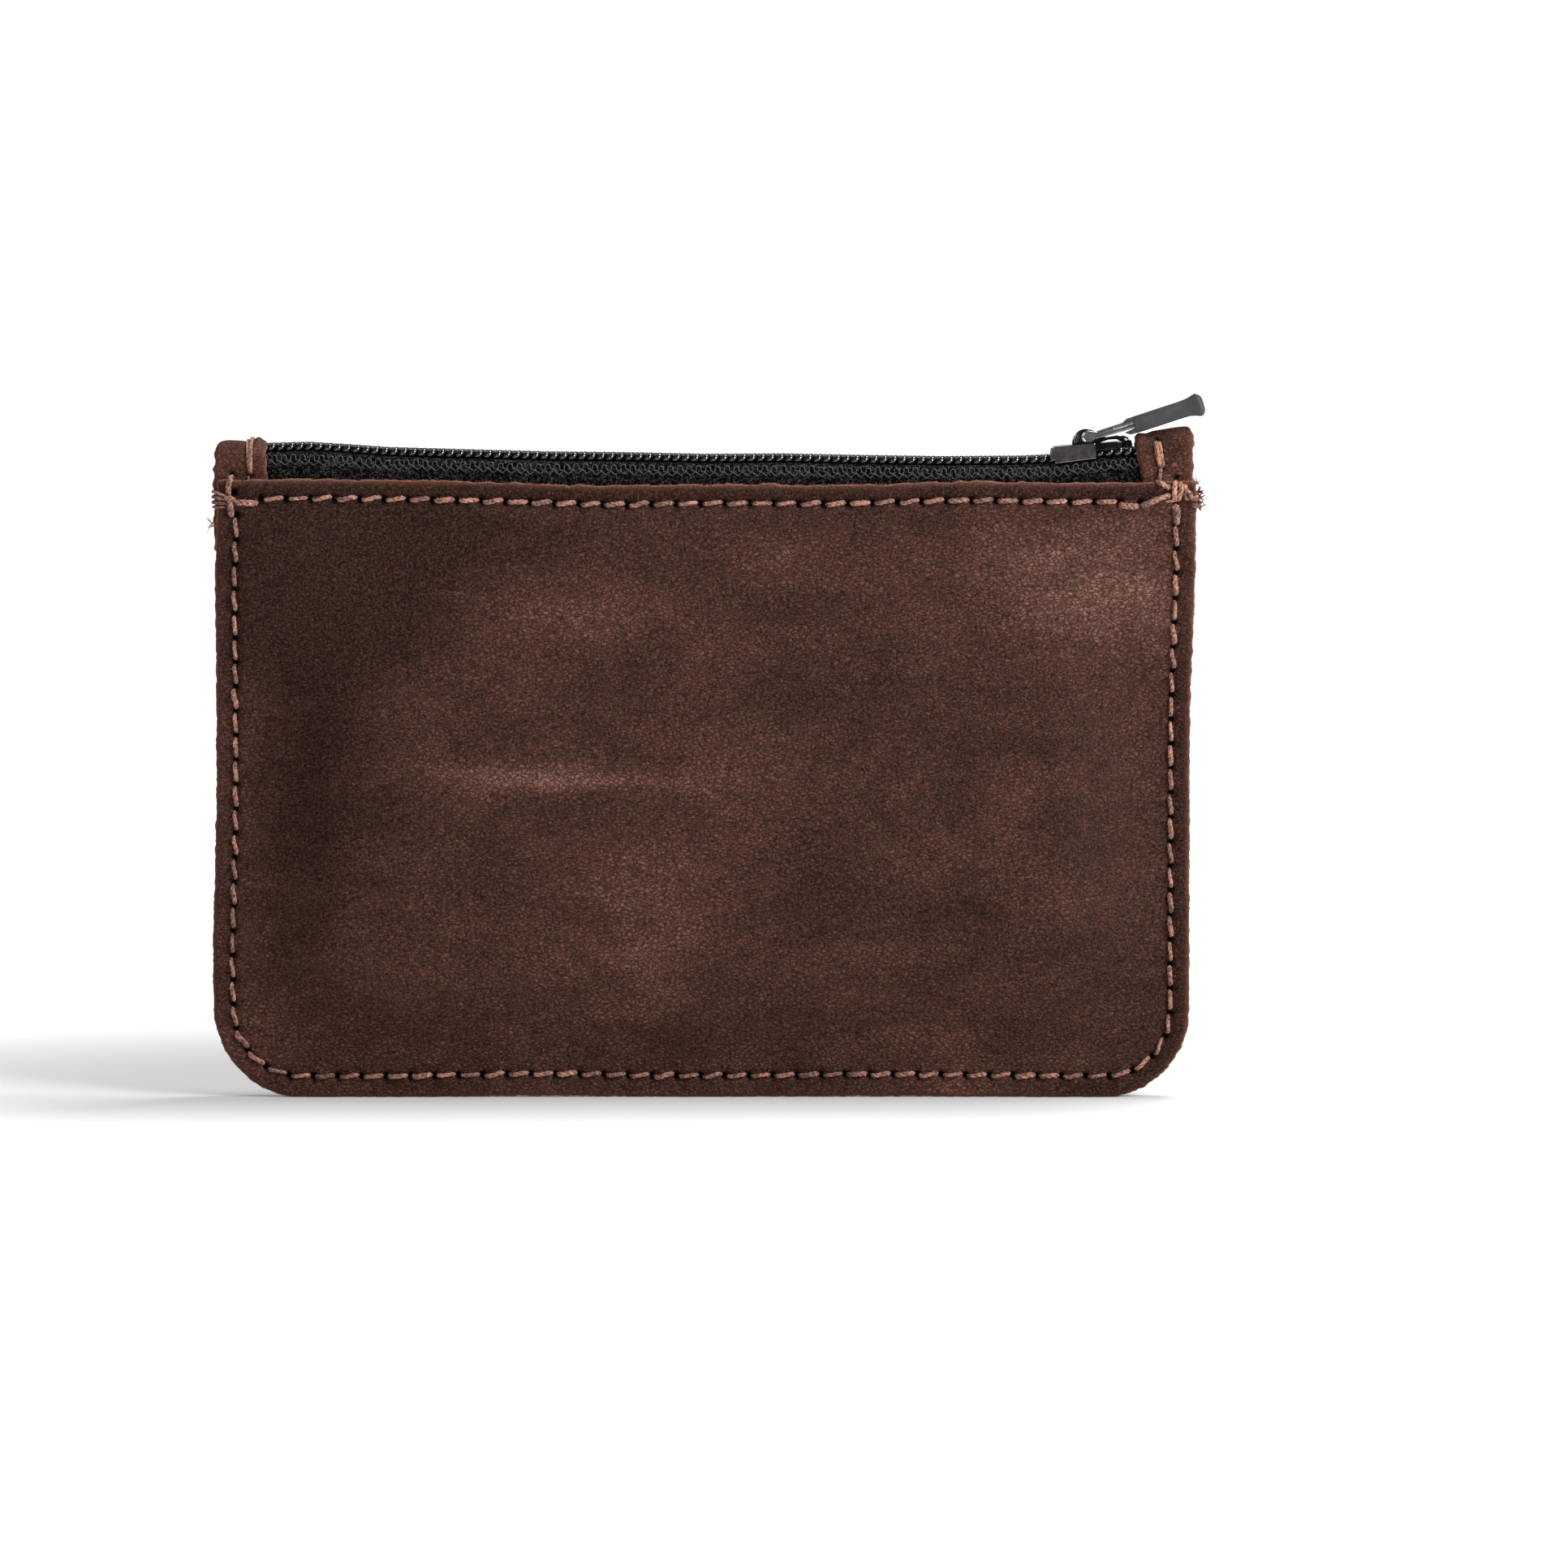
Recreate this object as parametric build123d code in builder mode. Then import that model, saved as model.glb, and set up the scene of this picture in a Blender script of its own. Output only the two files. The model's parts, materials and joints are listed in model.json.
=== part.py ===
"""A small zippered leather pouch: two stitched leather panels, a coil zipper along the top edge,
a folded leather tab over each end of the zipper, and a slider with a pull.

Millimetres, +Z up. The pouch stands on its bottom edge with the origin at the middle of that
edge, where the two panels meet. X runs along the zipper and -Y is the front.
"""

import os
from math import cos, hypot, radians, sin

from build123d import *

# Panels
WIDTH = 124.0
HEIGHT = 77.6
LEATHER = 1.6
CORNER_RADIUS = 10.5
RIM_GAP = 0.06
RIM_RELIEF = 0.04
RIM = 5.0
BULGE_EDGE_X = 44.0
BULGE_LOW_Z = 18.0
BULGE = 5.0
SPREAD = 4.0
SPREAD_START = 46.0
SPREAD_END = 66.0
OVERSHOOT = 3.0
CUT_DEPTH = 20.0

# Stitching
PITCH = 3.1
STITCH_SHARE = 0.74
THREAD_RADIUS = 0.4
THREAD_GAP = 0.12
SIDE_INSET = 2.3
BOTTOM_INSET = 2.7
SEAM_RADIUS = 8.0
SEAM_TOP = 73.6
TOP_LINE_INSET = 2.2
TOP_LINE_HALF = 57.2

# Zipper
COIL_Z = 81.2
COIL_HEIGHT = 1.2
COIL_HALF_WIDTH = 2.1
COIL_PITCH = 1.19
COIL_WIRE = 0.45
COIL_RAIL_INNER_Y = 1.2
COIL_REACH = 0.4
OPEN_REACH = 1.0
COIL_COUNT = 101
MESHED_END_X = 50.0
CORD_CHANNEL = 0.5
CORD_RADIUS = 0.15
TAPE = 0.5
TAPE_OUTER_Y = 2.9
TAPE_INNER_Y = 0.95
TAPE_TOP = COIL_Z - COIL_HEIGHT / 2 - 0.15
TAPE_BOTTOM = 66.0
TAPE_HALF_LENGTH = 59.2

# End tabs
TAB_LEATHER = 0.9
TAB_GAP = 0.1
TAB_BOTTOM = 68.0
LEFT_TAB = (-61.9, -54.8)
RIGHT_TAB = (55.1, 61.9)
LEFT_TAB_TOP = 83.1
RIGHT_TAB_TOPS = (83.9, 84.7)
TAB_OUTER_Y = TAPE_OUTER_Y + TAB_GAP + TAB_LEATHER
TAB_CREST_RADIUS = 1.8
TAB_CORNER_RADIUS = 1.6
TAB_THREAD_RADIUS = 0.3
TAB_THREAD_X = 57.5
TAB_THREAD_SPACING = 0.8
TAB_THREAD_LOW = 79.2
RIGHT_THREAD_HIGH = 82.75
TAB_THREAD_SLOT = (2.0, 0.9)
TAB_LOOP_RADIUS = 0.9
LOOP_GAP = 0.1

# Thread wrapped round each side edge at the top of the side seam
WRAP_LEVELS = (75.5, 76.3)
WRAP_SLOT = (2.2, 1.0)
WRAP_LOOP_RADIUS = 0.8

# Slider and pull
SLIDER_REAR = 44.2
SLIDER_NOSE = 54.2
FLANGE_END = 49.5
PLATE_BOTTOM = 81.95
PLATE_TOP = 82.65
PLATE_HALF_WIDTH = 2.85
PLATE_CORNER = 0.8
PLATE_CHAMFER = 0.2
FLANGE_INNER_Y = 2.25
FLANGE_BOTTOM = 80.6
WING_TOP = 79.75
WING_BOTTOM = 79.1
WING_HALF_WIDTH = 2.1
POST_X = (51.4, 53.8)
POST_HALF_WIDTH = 0.75
POST_TAPER = 1.2
PIVOT_X = 48.2
PIVOT_Z = 83.3
BRIDGE_HALF_WIDTH = 0.8
BRIDGE_TOP = 84.6
BRIDGE_REACH = 54.0
BRIDGE_LOW_TOP = 83.3
BRIDGE_WALL = 0.55
BRIDGE_ROOF = 0.7
HUMP_REAR = PIVOT_X - 1.6
HUMP_FRONT = PIVOT_X + 1.5
HUMP_SLOPE = 0.3
HUMP_RADIUS = 1.1
NOSE_SLOPE = 0.8
PULL_ANGLE = 18.0
PIN_RADIUS = 0.45
ARM_INNER_Y = 0.95
ARM_OUTER_Y = 1.6
ARM_HALF_HEIGHT = 0.45
CHEEK_RADIUS = ARM_HALF_HEIGHT + 0.1
STEM_START = 4.6
STEM_END = 8.6
YOKE = 0.8
GRIP_START = STEM_START + YOKE
GRIP_END = 15.7
GRIP_LIP = 0.7
GRIP_LIP_END = 1.0
GRIP_LIP_HALF_HEIGHT = 1.25
GRIP_HALF_HEIGHT = 1.1
GRIP_FLARE_START = GRIP_END - 2.4
GRIP_FLARE_END = GRIP_END - 1.4
GRIP_END_HALF_HEIGHT = 1.45
GRIP_HALF_WIDTH = 2.0
GRIP_EDGE_RADIUS = 0.35


def rim_spread(z):
    """How far a panel's inner face stands off the middle plane along its side edges."""
    rise = (z - SPREAD_START) / (SPREAD_END - SPREAD_START)
    return RIM_GAP + (SPREAD - RIM_GAP) * min(max(rise, 0.0), 1.0)


def outer_point(x, z):
    """A place for the middle of a thread that lies on the front panel's rim."""
    slope = 0.0
    if SPREAD_START < z < SPREAD_END:
        slope = (SPREAD - RIM_GAP) / (SPREAD_END - SPREAD_START)
    stand_off = (THREAD_RADIUS + THREAD_GAP) * hypot(1, slope)
    return Vector(x, -(rim_spread(z) + LEATHER + stand_off), z)


def seam_holes():
    """Needle places of the seam down the left side, along the bottom and up the right side."""
    side_x = WIDTH / 2 - SIDE_INSET
    low = BOTTOM_INSET + SEAM_RADIUS
    with BuildLine(Plane.XY) as path:
        Polyline((-side_x, SEAM_TOP), (-side_x, low))
        RadiusArc((-side_x, low), (-side_x + SEAM_RADIUS, BOTTOM_INSET), -SEAM_RADIUS)
        Line((-side_x + SEAM_RADIUS, BOTTOM_INSET), (side_x - SEAM_RADIUS, BOTTOM_INSET))
        RadiusArc((side_x - SEAM_RADIUS, BOTTOM_INSET), (side_x, low), -SEAM_RADIUS)
        Line((side_x, low), (side_x, SEAM_TOP))
    seam = path.wires()[0]
    count = round(seam.length / PITCH)
    points = [seam @ (step / count) for step in range(count + 1)]
    return [(point.X, point.Y) for point in points]


def top_holes():
    """Needle places of the line under a panel's top edge."""
    count = round(2 * TOP_LINE_HALF / PITCH)
    z = HEIGHT - TOP_LINE_INSET
    return [(TOP_LINE_HALF * (2 * step / count - 1), z) for step in range(count + 1)]


def panel_section(bulged):
    """Corners of the front panel's section in Y and Z, at its rim or through its bulge."""
    below = -OVERSHOOT
    above = HEIGHT + OVERSHOOT
    if bulged:
        inner = [
            (RIM_GAP, below),
            (RIM_GAP, RIM),
            (BULGE, BULGE_LOW_Z),
            (BULGE, SPREAD_START),
            (SPREAD, SPREAD_END),
            (SPREAD, above),
        ]
    else:
        inner = [
            (RIM_GAP, below),
            (RIM_GAP, RIM),
            (RIM_GAP + RIM_RELIEF, BULGE_LOW_Z),
            (RIM_GAP + RIM_RELIEF, SPREAD_START),
            (SPREAD, SPREAD_END),
            (SPREAD, above),
        ]
    outer = [(y + LEATHER, z) for y, z in inner]
    return [(-y, z) for y, z in inner + outer[::-1]]


def make_front_panel():
    """Leather panel with a flat rim and a soft bulge that holds the pouch open inside."""
    half = WIDTH / 2
    rim_x = half - RIM
    sections = [
        (-half - OVERSHOOT, False),
        (-rim_x, False),
        (-BULGE_EDGE_X, True),
        (BULGE_EDGE_X, True),
        (rim_x, False),
        (half + OVERSHOOT, False),
    ]
    with BuildPart() as panel:
        for x, bulged in sections:
            with BuildSketch(Plane.YZ.offset(x)):
                with BuildLine():
                    Polyline(*panel_section(bulged), close=True)
                make_face()
        loft(ruled=True)
        with BuildSketch(Plane.XZ):
            with BuildLine():
                FilletPolyline(
                    (-half, HEIGHT),
                    (-half, 0),
                    (half, 0),
                    (half, HEIGHT),
                    radius=CORNER_RADIUS,
                )
                Line((half, HEIGHT), (-half, HEIGHT))
            make_face()
        extrude(amount=CUT_DEPTH, both=True, mode=Mode.INTERSECT)
        with BuildSketch(Plane.XZ):
            with Locations(*wrap_holes()):
                SlotOverall(*WRAP_SLOT, rotation=90)
        extrude(amount=CUT_DEPTH, mode=Mode.SUBTRACT)
    panel.part.label = "front_panel"
    return panel


def wrap_holes():
    """Places of the slots that the threads wrapped round the side edges go through."""
    x = WIDTH / 2 - SIDE_INSET
    z = sum(WRAP_LEVELS) / 2
    return [(-x, z), (x, z)]


def make_mirrored(source, name):
    """The same piece on the back of the pouch."""
    with BuildPart() as copy:
        add(source.part)
        mirror(about=Plane.XZ, mode=Mode.REPLACE)
    copy.part.label = name
    return copy


def rod(start, end, radius):
    """Add a round rod from start to end to the part being built."""
    along = end - start
    with Locations(Plane(origin=start, z_dir=along)):
        Cylinder(radius, along.length, align=(Align.CENTER, Align.CENTER, Align.MIN))


def make_stitch(first, second):
    """One stitch on the front panel, lying between two needle places."""
    tops = [outer_point(x, z) for x, z in (first, second)]
    run = tops[1] - tops[0]
    margin = run * ((1 - STITCH_SHARE) / 2)
    with BuildPart() as stitch:
        rod(tops[0] + margin, tops[1] - margin, THREAD_RADIUS)
    return stitch.part


def make_thread(holes, name):
    """A row of stitches as separate solids in one node."""
    stitches = [make_stitch(a, b) for a, b in zip(holes, holes[1:])]
    with BuildPart() as thread:
        add(stitches)
    thread.part.label = name
    return thread


def make_tape():
    """Front zipper tape: a strip that carries the coil and folds down behind the panel."""
    inner_y = TAPE_OUTER_Y - TAPE
    with BuildPart() as tape:
        with BuildSketch(Plane.YZ.offset(-TAPE_HALF_LENGTH)):
            with BuildLine():
                Polyline(
                    (-TAPE_INNER_Y, TAPE_TOP),
                    (-TAPE_OUTER_Y, TAPE_TOP),
                    (-TAPE_OUTER_Y, TAPE_BOTTOM),
                    (-inner_y, TAPE_BOTTOM),
                    (-inner_y, TAPE_TOP - TAPE),
                    (-TAPE_INNER_Y, TAPE_TOP - TAPE),
                    close=True,
                )
            make_face()
        extrude(amount=2 * TAPE_HALF_LENGTH)
        fold = tape.edges().filter_by(Axis.X).sort_by(lambda e: e.center().Y - e.center().Z)[0]
        fillet(fold, TAPE - 0.1)
        with BuildSketch(Plane.XZ):
            with Locations((-TAB_THREAD_X, TAB_THREAD_LOW), (TAB_THREAD_X, TAB_THREAD_LOW)):
                SlotOverall(*TAB_THREAD_SLOT)
        extrude(amount=CUT_DEPTH, mode=Mode.SUBTRACT)
    tape.part.label = "front_tape"
    return tape


def coil_places():
    """X of each turn of the front coil."""
    first = -COIL_PITCH * (COIL_COUNT - 1) / 2
    return [first + COIL_PITCH * step for step in range(COIL_COUNT)]


def make_coil(side, shift, name):
    """One side's coil as a comb: flat loops a pitch apart on a hollow rail over its cord."""
    places = [x + shift for x in coil_places()]
    outer_y = side * COIL_HALF_WIDTH
    inner_y = side * COIL_RAIL_INNER_Y
    middle = (places[0] + places[-1]) / 2
    rail_length = places[-1] - places[0] + COIL_WIRE
    with BuildPart() as coil:
        with BuildSketch(Plane.XY.offset(COIL_Z - COIL_HEIGHT / 2)):
            with Locations((middle, (outer_y + inner_y) / 2)):
                Rectangle(rail_length, abs(outer_y - inner_y))
            for x in places:
                head = -side * COIL_REACH if x < MESHED_END_X else side * OPEN_REACH
                with Locations((x, (inner_y + head) / 2)):
                    Rectangle(COIL_WIRE, abs(inner_y - head))
        extrude(amount=COIL_HEIGHT)
        with Locations((middle, (outer_y + inner_y) / 2, COIL_Z)):
            Box(rail_length, CORD_CHANNEL, CORD_CHANNEL, mode=Mode.SUBTRACT)
    coil.part.label = name
    return coil


def make_filler_cord():
    """The cord inside the front coil, which the coil's loops are sewn down over."""
    half = COIL_PITCH * (COIL_COUNT - 1) / 2
    y = -(COIL_HALF_WIDTH + COIL_RAIL_INNER_Y) / 2
    with BuildPart() as cord:
        rod(Vector(-half, y, COIL_Z), Vector(half, y, COIL_Z), CORD_RADIUS)
    cord.part.label = "front_filler_cord"
    return cord


def make_tab(ends, tops, outer_side, name):
    """Leather strip folded over the end of the zipper, with both flaps inside the panels."""
    inner_y = TAB_OUTER_Y - TAB_LEATHER
    low_top, high_top = tops
    crown = max(tops)
    with BuildPart() as tab:
        with BuildSketch(Plane.YZ.offset(ends[0])):
            with Locations((0, TAB_BOTTOM)):
                Rectangle(2 * TAB_OUTER_Y, crown - TAB_BOTTOM, align=(Align.CENTER, Align.MIN))
        extrude(amount=ends[1] - ends[0])
        crests = tab.edges().filter_by(Axis.X).group_by(Axis.Z)[-1]
        fillet(crests, TAB_CREST_RADIUS)
        with BuildSketch(Plane.YZ.offset(ends[0])):
            with Locations((0, TAB_BOTTOM)):
                Rectangle(
                    2 * inner_y,
                    min(tops) - TAB_LEATHER - TAB_BOTTOM,
                    align=(Align.CENTER, Align.MIN),
                )
        extrude(amount=ends[1] - ends[0], mode=Mode.SUBTRACT)
        with BuildSketch(Plane.XZ):
            with BuildLine():
                Polyline(
                    (ends[0], low_top),
                    (ends[1], high_top),
                    (ends[1], TAB_BOTTOM),
                    (ends[0], TAB_BOTTOM),
                    close=True,
                )
            make_face()
            corner_x = ends[0] if outer_side < 0 else ends[1]
            corner = vertices().sort_by(lambda v: abs(v.X - corner_x) - v.Y)[0]
            fillet(corner, TAB_CORNER_RADIUS)
        extrude(amount=CUT_DEPTH, both=True, mode=Mode.INTERSECT)
        with BuildSketch(Plane.XZ):
            with Locations((outer_side * TAB_THREAD_X, TAB_THREAD_LOW)):
                SlotOverall(*TAB_THREAD_SLOT)
            if outer_side > 0:
                with Locations((outer_side * TAB_THREAD_X, RIGHT_THREAD_HIGH)):
                    SlotOverall(*TAB_THREAD_SLOT)
            with Locations((outer_side * (WIDTH / 2 - SIDE_INSET), sum(WRAP_LEVELS) / 2)):
                SlotOverall(*WRAP_SLOT, rotation=90)
        extrude(amount=CUT_DEPTH, both=True, mode=Mode.SUBTRACT)
    tab.part.label = name
    return tab


def make_loops(planes, width, height, radius, thread_radius, name):
    """Closed loops of thread, each a rounded rectangle centred on its plane."""
    loops = []
    for plane in planes:
        with BuildSketch(plane, mode=Mode.PRIVATE) as outline:
            RectangleRounded(width, height, radius)
        path = outline.sketch.face().outer_wire()
        with BuildPart() as loop:
            with BuildSketch(Plane(origin=path @ 0, z_dir=path % 0)):
                Circle(thread_radius)
            sweep(path=path)
        loops.append(loop.part)
    with BuildPart() as thread:
        add(loops)
    thread.part.label = name
    return thread


def make_tab_thread(side, low, high, name):
    """The doubled stitch over one tab."""
    middle = (low + high) / 2
    half_y = TAB_OUTER_Y + TAB_THREAD_RADIUS + LOOP_GAP
    planes = []
    for offset in (-TAB_THREAD_SPACING / 2, TAB_THREAD_SPACING / 2):
        x = side * TAB_THREAD_X + offset
        planes.append(Plane(origin=(x, 0, middle), x_dir=(0, 1, 0), z_dir=(1, 0, 0)))
    return make_loops(planes, 2 * half_y, high - low, TAB_LOOP_RADIUS, TAB_THREAD_RADIUS, name)


def make_wraps(side, name):
    """Two turns of thread through both panels and round one side edge."""
    through = WIDTH / 2 - SIDE_INSET
    beyond = WIDTH / 2 + TAB_THREAD_RADIUS + LOOP_GAP
    half_y = SPREAD + LEATHER + TAB_THREAD_RADIUS + LOOP_GAP
    planes = []
    for z in WRAP_LEVELS:
        planes.append(Plane(origin=(side * (through + beyond) / 2, 0, z), x_dir=(1, 0, 0)))
    width = beyond - through
    return make_loops(planes, width, 2 * half_y, WRAP_LOOP_RADIUS, TAB_THREAD_RADIUS, name)


def make_slider_body():
    """Slider casting: top plate with side flanges, lower wing plate and the post between them."""
    length = SLIDER_NOSE - SLIDER_REAR
    middle = (SLIDER_NOSE + SLIDER_REAR) / 2
    with BuildPart() as slider:
        with BuildSketch(Plane.XY.offset(PLATE_BOTTOM)):
            with Locations((middle, 0)):
                RectangleRounded(length, 2 * PLATE_HALF_WIDTH, PLATE_CORNER)
        extrude(amount=PLATE_TOP - PLATE_BOTTOM)
        flange_length = FLANGE_END - SLIDER_REAR
        flange_y = (PLATE_HALF_WIDTH + FLANGE_INNER_Y) / 2
        with BuildSketch(Plane.XY.offset(FLANGE_BOTTOM)):
            with Locations(
                ((SLIDER_REAR + FLANGE_END) / 2, -flange_y),
                ((SLIDER_REAR + FLANGE_END) / 2, flange_y),
            ):
                Rectangle(flange_length, PLATE_HALF_WIDTH - FLANGE_INNER_Y)
        extrude(amount=PLATE_TOP - FLANGE_BOTTOM)
        with BuildSketch(Plane.XY.offset(WING_BOTTOM)):
            with Locations((middle, 0)):
                RectangleRounded(length, 2 * WING_HALF_WIDTH, PLATE_CORNER)
        extrude(amount=WING_TOP - WING_BOTTOM)
        with BuildSketch(Plane.XY.offset(WING_TOP)):
            with BuildLine():
                Polyline(
                    (POST_X[0], 0),
                    (POST_X[0] + POST_TAPER, -POST_HALF_WIDTH),
                    (POST_X[1], -POST_HALF_WIDTH / 2),
                    (POST_X[1], POST_HALF_WIDTH / 2),
                    (POST_X[0] + POST_TAPER, POST_HALF_WIDTH),
                    close=True,
                )
            make_face()
        extrude(amount=PLATE_BOTTOM - WING_TOP)
        rim = slider.faces().sort_by(Axis.Z)[-1].edges()
        chamfer(rim, PLATE_CHAMFER)
    slider.part.label = "slider_body"
    return slider


def make_slider_bridge():
    """The cap on the slider that holds the pull's cross pin under its hump."""
    with BuildPart() as bridge:
        with BuildSketch(Plane.XZ.offset(-BRIDGE_HALF_WIDTH)):
            with BuildLine():
                Polyline(
                    (HUMP_REAR, PLATE_TOP),
                    (HUMP_REAR, BRIDGE_TOP),
                    (HUMP_FRONT, BRIDGE_TOP),
                    (HUMP_FRONT + HUMP_SLOPE, BRIDGE_LOW_TOP),
                    (BRIDGE_REACH - NOSE_SLOPE, BRIDGE_LOW_TOP),
                    (BRIDGE_REACH, PLATE_TOP),
                    close=True,
                )
            make_face()
            hump = vertices().filter_by(lambda v: v.Y > BRIDGE_TOP - 0.01)
            fillet(hump, HUMP_RADIUS)
            with Locations(((HUMP_REAR + HUMP_FRONT) / 2, PLATE_TOP)):
                Rectangle(
                    HUMP_FRONT - HUMP_REAR - 2 * BRIDGE_WALL,
                    BRIDGE_TOP - BRIDGE_ROOF - PLATE_TOP,
                    align=(Align.CENTER, Align.MIN),
                    mode=Mode.SUBTRACT,
                )
        extrude(amount=2 * BRIDGE_HALF_WIDTH)
    bridge.part.label = "slider_bridge"
    return bridge


def pull_plane():
    """Plane of the pull: X from the pivot towards its tip, Y through its thickness."""
    angle = radians(PULL_ANGLE)
    return Plane(
        origin=(PIVOT_X, 0, PIVOT_Z),
        x_dir=(cos(angle), 0, sin(angle)),
        z_dir=(0, -1, 0),
    )


def make_pull_link():
    """Metal stirrup: a round pin under the bridge, two arms beside it and a stem into the grip."""
    plane = pull_plane()
    arm_width = ARM_OUTER_Y - ARM_INNER_Y
    with BuildPart() as link:
        with BuildSketch(plane.offset(-ARM_OUTER_Y)):
            Circle(PIN_RADIUS)
        extrude(amount=2 * ARM_OUTER_Y)
        for level in (-ARM_OUTER_Y, ARM_INNER_Y):
            with BuildSketch(plane.offset(level)):
                Circle(CHEEK_RADIUS)
                with Locations((STEM_START / 2, 0)):
                    Rectangle(STEM_START, 2 * ARM_HALF_HEIGHT)
            extrude(amount=arm_width)
        with BuildSketch(plane.offset(-ARM_OUTER_Y)):
            with Locations((STEM_START, 0)):
                Rectangle(YOKE, 2 * ARM_HALF_HEIGHT, align=(Align.MIN, Align.CENTER))
        extrude(amount=2 * ARM_OUTER_Y)
        with BuildSketch(plane.offset(-ARM_INNER_Y)):
            with Locations((GRIP_START, 0)):
                Rectangle(
                    STEM_END - GRIP_START, 2 * ARM_HALF_HEIGHT, align=(Align.MIN, Align.CENTER)
                )
        extrude(amount=2 * ARM_INNER_Y)
    link.part.label = "pull_link"
    return link


def make_pull_grip():
    """Moulded grip with a lip at its inner end and a flared tip, over the link's stem."""
    plane = pull_plane()
    with BuildPart() as grip:
        with BuildSketch(plane.offset(-GRIP_HALF_WIDTH)):
            with BuildLine():
                Polyline(
                    (GRIP_START, -GRIP_LIP_HALF_HEIGHT),
                    (GRIP_START + GRIP_LIP, -GRIP_LIP_HALF_HEIGHT),
                    (GRIP_START + GRIP_LIP_END, -GRIP_HALF_HEIGHT),
                    (GRIP_FLARE_START, -GRIP_HALF_HEIGHT),
                    (GRIP_FLARE_END, -GRIP_END_HALF_HEIGHT),
                    (GRIP_END, -GRIP_END_HALF_HEIGHT),
                    (GRIP_END, GRIP_END_HALF_HEIGHT),
                    (GRIP_FLARE_END, GRIP_END_HALF_HEIGHT),
                    (GRIP_FLARE_START, GRIP_HALF_HEIGHT),
                    (GRIP_START + GRIP_LIP_END, GRIP_HALF_HEIGHT),
                    (GRIP_START + GRIP_LIP, GRIP_LIP_HALF_HEIGHT),
                    (GRIP_START, GRIP_LIP_HALF_HEIGHT),
                    close=True,
                )
            make_face()
        extrude(amount=2 * GRIP_HALF_WIDTH)
        fillet(grip.faces().group_by(Axis.Y)[0].edges(), GRIP_EDGE_RADIUS)
        fillet(grip.faces().group_by(Axis.Y)[-1].edges(), GRIP_EDGE_RADIUS)
        with BuildSketch(plane.offset(-ARM_INNER_Y)):
            with Locations((GRIP_START, 0)):
                Rectangle(
                    STEM_END - GRIP_START, 2 * ARM_HALF_HEIGHT, align=(Align.MIN, Align.CENTER)
                )
        extrude(amount=2 * ARM_INNER_Y, mode=Mode.SUBTRACT)
    grip.part.label = "pull_grip"
    return grip


front_panel = make_front_panel()
front_tape = make_tape()
front_coil = make_coil(-1, 0.0, "front_coil")
front_filler_cord = make_filler_cord()
front_seam = make_thread(seam_holes(), "front_seam_thread")
front_top = make_thread(top_holes(), "front_top_thread")

parts = [
    front_panel,
    make_mirrored(front_panel, "back_panel"),
    front_tape,
    make_mirrored(front_tape, "back_tape"),
    front_coil,
    make_coil(1, COIL_PITCH / 2, "back_coil"),
    front_filler_cord,
    make_mirrored(front_filler_cord, "back_filler_cord"),
    front_seam,
    make_mirrored(front_seam, "back_seam_thread"),
    front_top,
    make_mirrored(front_top, "back_top_thread"),
    make_tab(LEFT_TAB, (LEFT_TAB_TOP, LEFT_TAB_TOP), -1, "left_tab"),
    make_tab(RIGHT_TAB, RIGHT_TAB_TOPS, 1, "right_tab"),
    make_tab_thread(-1, TAB_THREAD_LOW, LEFT_TAB_TOP + TAB_THREAD_RADIUS + 0.1, "left_tab_thread"),
    make_tab_thread(1, TAB_THREAD_LOW, RIGHT_THREAD_HIGH, "right_tab_thread"),
    make_wraps(-1, "left_edge_thread"),
    make_wraps(1, "right_edge_thread"),
    make_slider_body(),
    make_slider_bridge(),
    make_pull_link(),
    make_pull_grip(),
]

os.makedirs("parts", exist_ok=True)
for made in parts:
    export_step(made.part, f"parts/{made.part.label}.step")
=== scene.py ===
"""Looks of a small zippered leather pouch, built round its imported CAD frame.

Shapes are worked out in millimetres in the frame's own axes (X along the zipper, -Y the front,
+Z up) and written to Blender in metres.
"""

import json
import math

import bmesh
import bpy
import numpy as np
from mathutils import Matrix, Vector


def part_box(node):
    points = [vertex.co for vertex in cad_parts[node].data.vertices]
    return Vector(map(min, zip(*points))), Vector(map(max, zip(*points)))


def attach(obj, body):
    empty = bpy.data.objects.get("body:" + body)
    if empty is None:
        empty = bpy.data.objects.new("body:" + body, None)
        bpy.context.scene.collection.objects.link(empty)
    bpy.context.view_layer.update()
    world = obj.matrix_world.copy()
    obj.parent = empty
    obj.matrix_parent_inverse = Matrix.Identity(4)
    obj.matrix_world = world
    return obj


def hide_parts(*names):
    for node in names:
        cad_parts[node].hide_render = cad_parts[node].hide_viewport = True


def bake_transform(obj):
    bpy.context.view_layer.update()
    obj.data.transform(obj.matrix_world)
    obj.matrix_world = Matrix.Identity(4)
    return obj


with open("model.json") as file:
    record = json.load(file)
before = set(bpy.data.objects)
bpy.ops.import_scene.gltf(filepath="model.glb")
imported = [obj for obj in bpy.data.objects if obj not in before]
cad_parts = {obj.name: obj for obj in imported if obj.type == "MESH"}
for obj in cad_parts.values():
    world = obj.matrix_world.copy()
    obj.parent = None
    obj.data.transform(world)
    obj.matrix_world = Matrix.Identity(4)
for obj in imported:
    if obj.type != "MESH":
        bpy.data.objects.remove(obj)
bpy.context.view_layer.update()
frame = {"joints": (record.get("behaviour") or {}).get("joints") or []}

MM = 0.001
FRONT = -1
BACK = 1
random = np.random.default_rng(7)


# Places and sizes in millimetres, some read from the frame and the rest given


def box_mm(node):
    """A CAD node's lowest and highest corners in millimetres."""
    low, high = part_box(node)
    return np.array(low) / MM, np.array(high) / MM


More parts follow.
